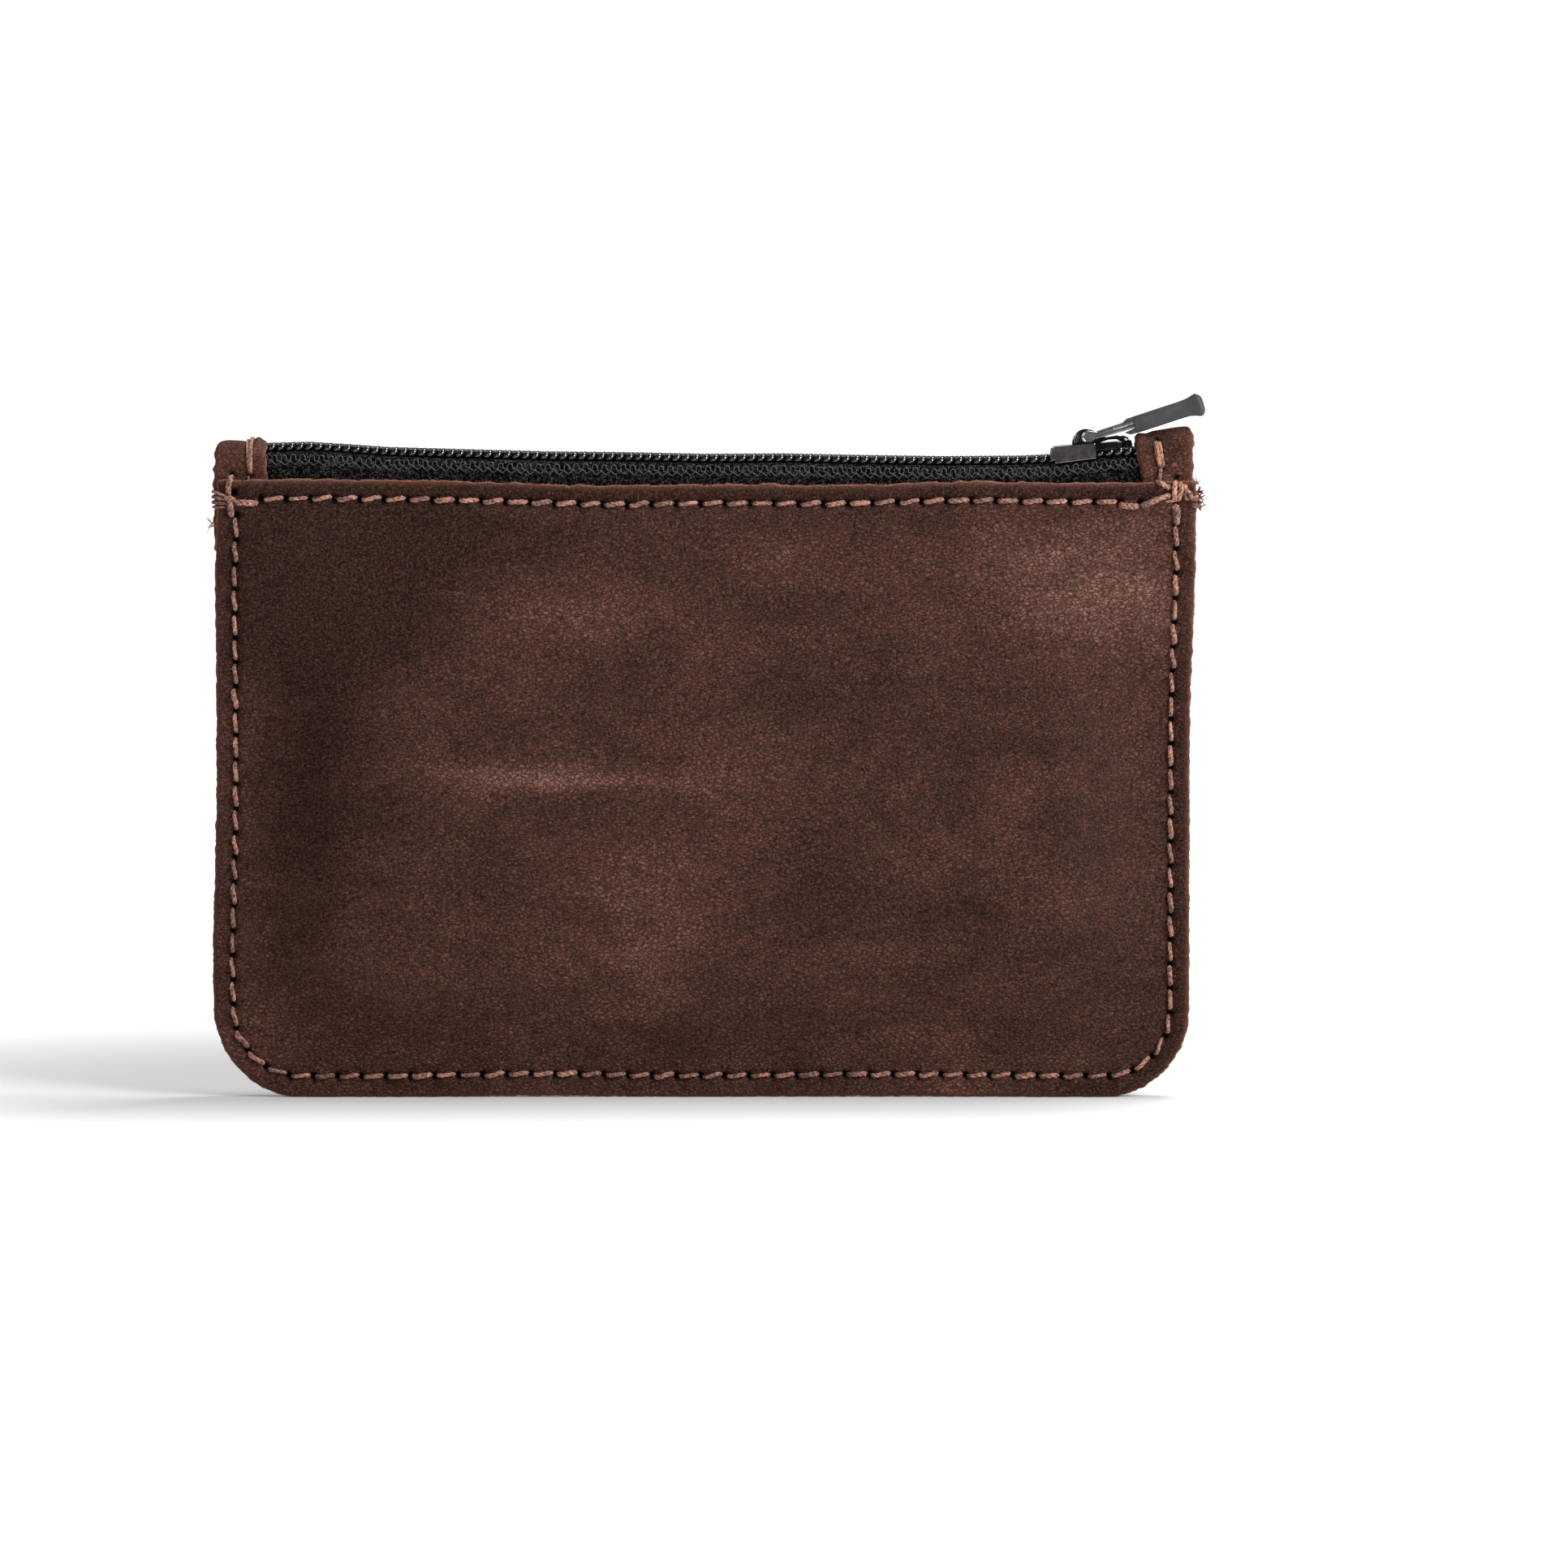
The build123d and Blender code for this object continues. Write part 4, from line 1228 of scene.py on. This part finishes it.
CROWN_OUTER = (
    (-1.62, -1.0), (-1.68, -0.3), (-1.45, 0.42), (-0.85, 1.0), (0.0, 1.26), (0.85, 1.24), (1.5, 0.92),
    (2.1, 0.46), (2.75, 0.33), (4.1, 0.55), (4.8, 0.38), (5.15, -0.05), (5.2, -0.8),
)
CROWN_INNER = (
    (4.85, -0.75), (4.7, -0.25), (3.9, 0.05), (2.9, -0.02), (2.1, -0.28), (1.6, -0.5), (1.5, -1.0),
)
CROWN_STRAP = ((4.6, 0.55, 0.42), (5.3, 0.55, 0.2), (5.75, 0.5, -0.3), (5.88, 0.4, -0.95))


def make_slider_bridge(material, shaded_material):
    """The barrel-like crown that the pull hangs in, running down to a low strap at the nose."""
    build = Builder()
    x, z = pivot[0], pivot[2] + 0.12
    # The crown's body takes the darker copy of the metal as painted shade, so its ridges and straps in the
    # plain metal stand out lighter.
    add_outline(build, [(x + a, z + b) for a, b in CROWN_OUTER + CROWN_INNER], 1, -0.8, 0.8, 0.14, slot=1)
    for side in (FRONT, BACK):
        for radius, width in ((1.50, 0.075), (1.22, 0.06), (0.98, 0.06)):
            ring = arc_points((x + 0.1, z - 0.1), (radius, radius * 0.9), 195, 75, 14)
            add_tube(build, [(a, side * 0.84, b) for a, b in ring], width, (0.0, 1.0, 0.0), 8)
        strap = curve_through([(x + a, side * y, z + b) for a, y, b in CROWN_STRAP], 14)
        add_tube(build, strap, 0.13, (0.0, 1.0, 0.0), 8)
    return build.make("slider_crown", [material, shaded_material], smooth_shading=False)


def pull_place(points):
    """From the pull's own axes, along and up, to its resting angle about the pivot."""
    points = np.asarray(points, float)
    angle = math.radians(PULL_ANGLE)
    along, up = points[:, 0], points[:, 2] + 0.25
    x = pivot[0] + along * math.cos(angle) - up * math.sin(angle)
    z = pivot[2] + along * math.sin(angle) + up * math.cos(angle)
    return np.column_stack([x, points[:, 1], z])


def make_pull_link(material):
    """Metal link: a round cheek each side of the crown, a pin through it, and a grooved stem."""
    build = Builder()
    cheek = arc_points((0.42, 0.08), (0.86, 0.84), 58, 292, 15)
    cheek += [(1.8, -0.46), (4.0, -0.52), (4.0, 0.36), (1.8, 0.36)]
    for side in (FRONT, BACK):
        add_slab(build, cheek, side, 0.98, 1.6, 0.16)
        ring = arc_points((0.42, 0.08), (0.60, 0.58), 85, 275, 12)
        add_tube(build, [(a, side * 1.62, b) for a, b in ring], 0.06, (0.0, 1.0, 0.0), 8)
        add_slab(build, [(1.1, -0.44), (6.7, -0.72), (6.7, -0.26), (1.1, -0.08)], side, 0.98, 1.66, 0.10)
        add_slab(build, [(1.1, 0.02), (6.7, -0.14), (6.8, 0.39), (1.1, 0.38)], side, 0.98, 1.54, 0.10)
    add_tube(build, [(0.2, -1.3, 0), (0.2, -0.4, 0), (0.2, 0.4, 0), (0.2, 1.3, 0)], 0.42, (1, 0, 0), 14)
    add_outline(build, [(5.6, -0.56), (8.5, -0.62), (8.5, 0.2), (5.6, 0.25)], 1, -1.2, 1.2, 0.1)
    build.points = [pull_place(p) for p in build.points]
    return build.make("pull_stem", [material], smooth_shading=False)


def add_loft(build, stations, per_side=7):
    """A bar through rounded rectangular sections: along, lowest, highest, half width, corner."""
    rings = []
    for along, low, high, half, corner in stations:
        ring = []
        for centre_y, centre_v, start in (
            (half - corner, high - corner, 0), (corner - half, high - corner, 90),
            (corner - half, low + corner, 180), (half - corner, low + corner, 270),
        ):
            turn = np.radians(np.linspace(start, start + 90, per_side))
            ring += list(zip(centre_y + corner * np.cos(turn), centre_v + corner * np.sin(turn)))
        rings.append([(along - 0.13 * (v + 0.4) ** 2 * smooth((along - 14.2) / 1.2), y, v) for y, v in ring])
    count = len(rings[0])
    faces = []
    for i in range(len(rings) - 1):
        for k in range(count):
            n = (k + 1) % count
            faces.append((i * count + k, (i + 1) * count + k, (i + 1) * count + n, i * count + n))
    faces.append(tuple(range(count)))
    faces.append(tuple((len(rings) - 1) * count + k for k in range(count))[::-1])
    build.add(np.array(rings, float).reshape(-1, 3), faces)


def make_pull_grip(material):
    """Rubber grip: a flat bar with thin lips at the stem and a flared, bevelled end."""
    build = Builder()
    stations = [
        (6.42, -1.20, 0.55, 1.86, 0.20), (6.50, -1.33, 0.66, 1.96, 0.22), (6.62, -1.37, 0.70, 2.0, 0.22),
        (9.5, -1.38, 0.70, 2.0, 0.22), (12.6, -1.38, 0.70, 2.0, 0.22), (13.5, -1.42, 0.73, 2.0, 0.24),
        (14.2, -1.60, 0.84, 2.08, 0.28), (14.8, -1.78, 0.97, 2.22, 0.32), (15.15, -1.86, 1.03, 2.30, 0.34),
        (15.42, -1.82, 0.96, 2.26, 0.36), (15.58, -1.66, 0.78, 2.10, 0.36), (15.68, -1.40, 0.50, 1.8, 0.36),
    ]
    add_loft(build, stations)
    add_outline(build, [(5.25, 0.42), (6.7, 0.30), (6.7, 0.69), (5.9, 0.70)], 1, -1.9, 1.9, 0.08)
    add_outline(build, [(5.1, -0.92), (5.7, -1.30), (6.7, -1.34), (6.7, -0.80)], 1, -1.9, 1.9, 0.08)
    build.points = [pull_place(p) for p in build.points]
    return build.make("pull_handle", [material])


# Threads at the tabs and corners


def tab_skin(x, z, top_of, lift):
    """Places on the front of a tab, off its leather by a lift."""
    shoulder = top_of(x) - TAB_FOLD
    up = np.clip((z - shoulder) / TAB_FOLD, 0, 1)
    turn = np.arcsin(up ** (1 / 0.9))
    return np.column_stack([x, -(TAB_OUTER + lift) * np.cos(turn), z + lift * np.sin(turn)])


def add_tab_strand(build, upper, lower, top_of, radius, over=False):
    """A strand down the front of a tab, or from one hole over the fold to the same hole behind."""
    s = np.linspace(0, 1, 30)
    x = upper[0] + (lower[0] - upper[0]) * s
    bottom = 0.75 * bell(1 - s, 0.06)
    if over:
        top = top_of(x) - 0.001
        z = top + (lower[1] - top) * s**1.3
        path = tab_skin(x, z, top_of, radius * 0.75 - bottom)
        behind = path[1:] * (1, -1, 1)
        path = np.vstack([path[::-1], behind])
    else:
        z = upper[1] + (lower[1] - upper[1]) * s
        path = tab_skin(x, z, top_of, radius * 0.75 - bottom - 0.75 * bell(s, 0.06))
    turn = random.uniform(1.7, 2.3)
    add_thread(build, path, radius, reference=(1, 0, 0), turn=turn, phase=random.uniform(0, 6))


def left_tab_threads(material):
    build = Builder()
    add_tab_strand(build, (-57.70, 0), (-57.35, 79.25), left_tab_top, 0.21, True)
    add_tab_strand(build, (-57.15, 0), (-57.20, 79.25), left_tab_top, 0.29, True)
    add_tab_strand(build, (-57.45, 78.75), (-57.6, 78.1), left_tab_top, 0.16)
    return build.make("left_tab_stitch", [material])


def right_tab_threads(material):
    build = Builder()
    add_tab_strand(build, (57.00, 83.3), (57.52, 80.1), right_tab_top, 0.28)
    add_tab_strand(build, (57.42, 83.2), (57.88, 80.15), right_tab_top, 0.27)
    add_tab_strand(build, (56.72, 83.2), (57.25, 80.4), right_tab_top, 0.12)
    add_tab_strand(build, (57.60, 79.75), (57.42, 78.3), right_tab_top, 0.26)
    return build.make("right_tab_stitch", [material])


def wrap_loop(x_in, x_out, z, slope, depth):
    """A loop of thread through both panels and round their edge."""
    sign = 1 if x_out > 0 else -1
    places = (
        (x_in, 0.0, -depth + 0.7, 0), (x_in, 0.2, -depth - 0.05, 0), (x_in, 1.0, -depth - 0.26, 1),
        (x_out, -0.45, -depth - 0.12, 1.6), (x_out, 0.12, -depth + 0.7, 2), (x_out, 0.22, -depth / 2, 2),
        (x_out, 0.22, depth / 2, 1.6), (x_out, 0.12, depth - 0.7, 1.2), (x_out, -0.45, depth + 0.12, 1),
        (x_in, 0.2, depth + 0.05, 0), (x_in, 0.0, depth - 0.7, 0),
    )
    return curve_through([(x + sign * out, y, z + slope * rise) for x, out, y, rise in places], 70)


def skin_depth_at(x, z):
    return float(spread(np.array([x]), np.array([z]))[0]) + LEATHER


def skin_strand(build, places, radius, lift=0.3, turn=2.1):
    """A strand laid on the front skin through a few places (x, z), its ends pushed into the leather."""
    line = curve_through([(x, 0, z) for x, z in places], 34)
    s = np.linspace(0, 1, len(line))
    rise = lift * np.sin(math.pi * s) ** 0.5 - 1.1 * bell(s, 0.09) - 1.1 * bell(1 - s, 0.09)
    ideal_z = line[:, 2] / (HEIGHT + 0.45) * HEIGHT
    depth = spread(line[:, 0], ideal_z) + LEATHER
    path = np.column_stack([line[:, 0], -(depth + rise), line[:, 2]])
    taper = 1 - 0.45 * bell(s, 0.08) - 0.45 * bell(1 - s, 0.08)
    add_thread(build, path, radius * taper, turn=turn, phase=random.uniform(0, 6))
    return path


def left_corner_threads(material):
    """Strands down from the tab and wrapped round the left edge."""
    build = Builder()
    edge = -HALF + 0.30
    depth = skin_depth_at(-60.5, 75) + 0.02
    wraps = ((76.5, 0.22, 0.22), (76.0, 0.14, 0.23), (75.5, 0.04, 0.22), (75.05, -0.03, 0.14))
    for inner_z, slope, radius in wraps:
        add_thread(build, wrap_loop(-HALF + 1.9, edge, inner_z, slope, depth), radius)
    strands = [
        ([(-59.45, 78.95), (-59.75, 78.2), (-59.9, 77.4), (-59.85, 76.5)], 0.37, 0.28),
        ([(-60.4, 76.1), (-59.9, 76.2), (-59.4, 76.1), (-58.95, 75.85)], 0.30, 0.50),
        ([(-59.75, 76.5), (-59.7, 75.6), (-59.6, 74.8), (-59.5, 73.8)], 0.42, 0.34),
        ([(-59.3, 75.55), (-58.2, 75.6), (-57.1, 75.55), (-56.2, 75.5)], 0.42, 0.28),
    ]
    for places, radius, lift in strands:
        path = skin_strand(build, places, radius, lift, 2.0)
        add_fibre(build, path[random.integers(5, 28)], (0.2, -1, 0.4), random.uniform(0.4, 0.9), 0.024, 1.0)
    for _ in range(14):
        spot = (edge - 0.15, random.uniform(-5, 5), random.uniform(74.8, 77.3))
        direction = (-1, random.normal() * 0.3, random.normal() * 0.5)
        add_fibre(build, spot, direction, random.uniform(0.2, 0.6), 0.022, 0.8)
    for _ in range(9):
        spot = (edge - 0.07, -5.2 + random.normal() * 0.15, 72.9 + random.normal() * 0.2)
        add_fibre(build, spot, (-1, -0.3, random.normal() * 0.5), random.uniform(0.6, 1.05), 0.08, 1.2)
    return build.make("left_edge_stitches", [material])


def right_corner_threads(material):
    """The crowded right corner: crossing strands, wraps round the edge and frayed tufts."""
    build = Builder()
    strands = [
        ([(57.0, 78.3), (57.9, 77.85), (58.8, 77.3)], 0.32, 0.22),
        ([(59.45, 78.25), (59.3, 77.5), (59.3, 76.6), (59.42, 75.7)], 0.38, 0.42),
        ([(60.0, 78.15), (60.15, 77.4), (59.95, 76.6), (59.72, 75.75)], 0.36, 0.46),
        ([(60.3, 77.9), (60.75, 77.2), (61.3, 76.6), (61.35, 75.95)], 0.32, 0.30),
        ([(60.5, 76.9), (60.7, 76.3), (61.0, 75.9)], 0.25, 0.12),
        ([(59.1, 77.6), (59.6, 77.7), (60.4, 77.75), (61.0, 77.5)], 0.26, 0.2),
        ([(52.4, 75.35), (53.2, 75.2), (54.0, 75.12), (54.75, 75.1)], 0.43, 0.30),
        ([(55.0, 75.15), (55.9, 75.45), (56.7, 75.85), (57.5, 76.15)], 0.42, 0.32),
        ([(57.2, 75.95), (57.9, 76.3), (58.9, 76.5)], 0.36, 0.26),
        ([(58.0, 75.7), (58.9, 75.8), (59.4, 75.9)], 0.22, 0.12),
        ([(59.45, 75.35), (59.62, 74.5), (59.6, 73.6), (59.5, 72.85)], 0.42, 0.30),
        ([(59.2, 75.3), (59.3, 74.4), (59.4, 73.3)], 0.25, 0.18),
    ]
    for places, radius, lift in strands:
        path = skin_strand(build, places, radius, lift, 2.0)
        for _ in range(3):
            start = path[random.integers(5, 28)]
            add_fibre(build, start, random.normal(size=3) + (0, -1, 0), random.uniform(0.3, 0.9), 0.024, 1.0)
    depth = skin_depth_at(60.0, 75) - 0.1
    for z, slope in ((76.0, 0.15), (75.3, -0.1)):
        add_thread(build, wrap_loop(HALF - 0.6, HALF + 0.15, z, slope, depth), 0.24)
    return build.make("right_edge_stitches", [material])


def right_corner_fray(material):
    """Torn leather fibres that stick out of the right corner."""
    build = Builder()
    for _ in range(34):
        low = random.uniform(74.9, 77.0)
        start = (HALF + 0.15 + random.normal() * 0.1, -3.6 + random.normal() * 1.0, low)
        direction = (1.0, -0.25 + random.normal() * 0.25, 0.35 * (low - 75.9) + random.normal() * 0.35)
        add_fibre(build, start, direction, random.uniform(0.45, 1.15), random.uniform(0.08, 0.19), 0.7)
    for _ in range(30):
        spot = random.uniform(60.0, 62.4)
        start = (spot, -4.9 + random.normal() * 0.35, 77.9)
        direction = (random.normal() * 0.7, -0.5, 0.5)
        add_fibre(build, start, direction, random.uniform(0.4, 0.9), random.uniform(0.04, 0.10), 0.9)
    return build.make("right_corner_fray", [material])


def raw_edge(x, z):
    """One place on a panel's edge: how far its inner face stands off, and its real x and z."""
    x, z = np.array([x]), np.array([z])
    real_x, real_z = drift(x, z)
    return float(spread(x, z)[0]), real_x[0], real_z[0]


def edge_fibres(name, side, low_x, high_x, material):
    """Loose fibres and lifted shreds along a panel's raw top edge and down its sides."""
    build = Builder()
    for _ in range(int((high_x - low_x) * 3.0)):
        inner, x, z = raw_edge(random.uniform(low_x, high_x), HEIGHT)
        start = (x, side * (inner + random.uniform(0.15, 1.45)), z - 0.02)
        length = random.uniform(0.15, 0.55) * (1.6 if random.random() < 0.08 else 1.0)
        along = 1 if random.random() < 0.5 else -1
        direction = (
            along * random.uniform(0.6, 1.6), side * random.normal() * 0.3, random.uniform(0.15, 0.8),
        )
        add_fibre(build, start, direction, length, random.uniform(0.03, 0.075), random.uniform(0.3, 1.2))
    for x_side in (-1, 1):
        if not low_x <= x_side * (HALF - 1) <= high_x:
            continue
        for _ in range(60):
            inner, x, z = raw_edge(x_side * HALF, random.uniform(12, HEIGHT - 1))
            start = (x, side * (inner + random.uniform(0.2, 1.4)), z)
            direction = (x_side, side * random.normal() * 0.3, random.normal() * 1.2)
            add_fibre(build, start, direction, random.uniform(0.1, 0.4), random.uniform(0.02, 0.05), 0.8)
    return build.make(name, [material])


# Putting the pouch together


def finish_piece(nodes):
    """Let a piece stand for CAD nodes, which are hidden."""
    if nodes:
        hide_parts(*nodes)


def place(item, body, slot_name, *nodes):
    """Let a piece move with a body."""
    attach(item, body)
    finish_piece(nodes)


def place_half(item, far, slot_name, *nodes):
    """Half of a front piece: its place is baked into its mesh, and it stands for CAD nodes, which are hidden.
    """
    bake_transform(item)
    finish_piece(nodes)


def make_side(side, name_of, x_range, coil_range, keep, put, looks):
    """A side's panel with its stitches, tape, coil, cord and loose fibres, or half of them."""
    grain, raw, frayed, thread, tape, nylon, sewing = looks
    low, high = x_range
    front = side == FRONT
    word = "front" if front else "back"
    seed, clouds = (FRONT_SEED, FRONT_TONE_AND_LIGHT) if front else (BACK_SEED, BACK_TONE_AND_LIGHT)
    panel = make_panel(name_of("leather"), side, low, high, seed, clouds, [grain, raw])
    put(panel, "leather_body", f"{word}_panel")
    line = make_stitches(name_of("top_stitches"), side, TOP_HOLES, thread, keep, 2 if front else 1)
    put(line, "thread", f"{word}_top_thread")
    line = make_stitches(name_of("seam_stitches"), side, SEAM_HOLES, thread, keep)
    put(line, "thread", f"{word}_seam_thread")
    tape_range = (max(low, tape_low[0]), min(high, tape_high[0]))
    strip = make_tape(name_of("tape"), side, *tape_range, tape)
    put(strip, "tape", f"{word}_tape")
    shift = 0.0 if front else COIL_PITCH / 2
    put(make_coil(name_of("coil"), side, *coil_range, shift, nylon), "coil", f"{word}_coil")
    put(coil_sewing(name_of("coil_sewing"), side, *coil_range, sewing), "thread")
    put(core_cord(name_of("core"), side, *coil_range, tape), "cord", f"{word}_filler_cord")
    put(edge_fibres(name_of("edge_fibres"), side, low, high, frayed), "leather_body")


def make_front(looks):
    """The front's two halves, which meet at the middle, where the mouth opens widest."""
    middle = CHAIN_LOW + FRONT_LEFT_TURNS * COIL_PITCH
    chain_high = middle + FRONT_RIGHT_TURNS * COIL_PITCH
    make_side(
        FRONT, lambda part: f"front_{part}_left", (-HALF, 0.0), (CHAIN_LOW, middle),
        lambda x: x < 0, lambda item, *rest: place_half(item, MOUTH_START, *rest), looks,
    )
    make_side(
        FRONT, lambda part: f"front_{part}_right", (0.0, HALF), (middle, chain_high),
        lambda x: x >= 0, lambda item, *rest: place_half(item, MOUTH_END, *rest), looks,
    )


def make_back(looks):
    names = {"tape": "back_tape_strip", "coil": "back_coil_chain"}
    chain_high = CHAIN_LOW + (FRONT_LEFT_TURNS + FRONT_RIGHT_TURNS) * COIL_PITCH
    make_side(
        BACK, lambda part: names.get(part, f"back_{part}"), (-HALF, HALF), (CHAIN_LOW, chain_high),
        lambda x: True, lambda item, *rest: place(item, "pouch", *rest), looks,
    )


def make_ends(leather, frayed, thread):
    """The tabs over the zipper's ends and the threads at the corners."""
    for word, low, high, top_of, edges, seed in (
        ("left", left_tab_low, left_tab_high, left_tab_top, (left_tab_outer, left_tab_inner), 51),
        ("right", right_tab_low, right_tab_high, right_tab_top, (right_tab_inner, right_tab_outer), 61),
    ):
        item = make_tab(f"{word}_tab_leather", low[0], high[0], top_of, edges, seed, leather)
        place(item, "pouch", "leather_tab", f"{word}_tab")
    place(left_tab_threads(thread), "pouch", "thread", "left_tab_thread")
    place(right_tab_threads(thread), "pouch", "thread", "right_tab_thread")
    place(left_corner_threads(thread), "pouch", "thread", "left_edge_thread")
    place(right_corner_threads(thread), "pouch", "thread", "right_edge_thread")
    place(right_corner_fray(frayed), "pouch", "leather_body")


def make_slider():
    # One metal in three copies: plain gunmetal, a darker copy as painted shade on the top plate and the
    # crown's body, and a lighter copy as painted highlight on the pull link.
    metal = metal_look("gunmetal", (0.13, 0.12, 0.115), (0.27, 0.25, 0.235))
    shaded_metal = metal_look("shaded_gunmetal", (0.020, 0.018, 0.018), (0.050, 0.046, 0.044))
    lit_metal = metal_look("lit_gunmetal", (0.30, 0.29, 0.28), (0.55, 0.53, 0.51))
    place(make_slider_body(metal, shaded_metal), "slider", "slider_metal", "slider_body")
    place(make_slider_bridge(metal, shaded_metal), "slider", "slider_metal", "slider_bridge")
    place(make_pull_link(lit_metal), "pull", "slider_metal", "pull_link")
    place(make_pull_grip(grip_look()), "pull", "pull_rubber", "pull_grip")


def make_pouch():
    dark, warm, light = (0.014, 0.0044, 0.0030), (0.066, 0.0275, 0.0205), (0.165, 0.080, 0.062)
    grain = leather_grain("brown_leather", dark, warm, light)
    dark, warm, light = (0.026, 0.0095, 0.0065), (0.076, 0.031, 0.022), (0.15, 0.070, 0.053)
    tab_grain = leather_grain("brown_tab_leather", dark, warm, light)
    raw = leather_raw("raw_leather_edge", (0.30, 0.118, 0.076), (0.065, 0.024, 0.015))
    frayed = leather_raw("frayed_leather", (0.20, 0.076, 0.048), (0.060, 0.022, 0.014))
    thread = thread_look()
    looks = (grain, raw, frayed, thread, tape_look(), nylon_look(), sewing_look())
    make_front(looks)
    make_back(looks)
    make_ends([tab_grain, raw], frayed, thread)
    make_slider()


# Studio


def aim(item, target):
    direction = Vector(target) - item.location
    item.rotation_euler = direction.to_track_quat("-Z", "Y").to_euler()


def make_camera():
    data = bpy.data.cameras.new("camera")
    data.lens = 200
    data.sensor_width = 36
    data.clip_end = 20
    camera = bpy.data.objects.new("camera", data)
    bpy.context.scene.collection.objects.link(camera)
    elevation = math.radians(CAMERA_ELEVATION)
    target = Vector((CAMERA_X * MM, 0.0, CAMERA_Z * MM))
    camera.location = target + CAMERA_DISTANCE * Vector((0, -math.cos(elevation), math.sin(elevation)))
    aim(camera, target)
    bpy.context.scene.camera = camera


def add_light(name, place_at, target, size, power):
    data = bpy.data.lights.new(name, "AREA")
    data.shape = "RECTANGLE"
    data.size, data.size_y = size
    data.energy = power
    lamp = bpy.data.objects.new(name, data)
    bpy.context.scene.collection.objects.link(lamp)
    lamp.location = place_at
    aim(lamp, target)


def studio_world():
    """Soft surroundings: a bright band low behind the object, dim in front of it and overhead."""
    n = Nodes(bpy.data.worlds.new("studio"), "Background")
    place = n.node("ShaderNodeTexCoord").outputs["Generated"]
    split = n.node("ShaderNodeSeparateXYZ", {0: place}).outputs
    behind = n.ease(split["Y"], WORLD_SIDE, 0.95, 0.0, 1.0)
    low = n.ease(split["Z"], 0.62, 0.12, 0.0, 1.0)
    bright = n.math("MULTIPLY", behind, low)
    level = n.node("ShaderNodeMapRange", {"Value": bright, "To Min": WORLD_DIM, "To Max": 1.05})
    return n.look(Color=(1, 1, 1, 1), Strength=level.outputs["Result"])


def make_studio():
    centre = (0.0, 0.0, 0.045)
    add_light("key", (0.46, -0.36, 0.36), centre, (0.36, 0.36), 5.7)
    add_light("top", (0.30, 0.15, 0.90), centre, (0.40, 0.34), 7.0)
    add_light("front_fill", (-0.55, -1.2, 0.45), centre, (0.5, 0.4), 2.4)
    bpy.context.scene.world = studio_world()
    bpy.context.scene.view_settings.view_transform = "Standard"
    build = Builder()
    corners = block_outline((-FLOOR, -FLOOR), (FLOOR, FLOOR))
    build.add([(x, y, 0) for x, y in corners], [(0, 1, 2, 3)])
    floor = build.make("floor", [stage_look()])


make_camera()
make_studio()
make_pouch()
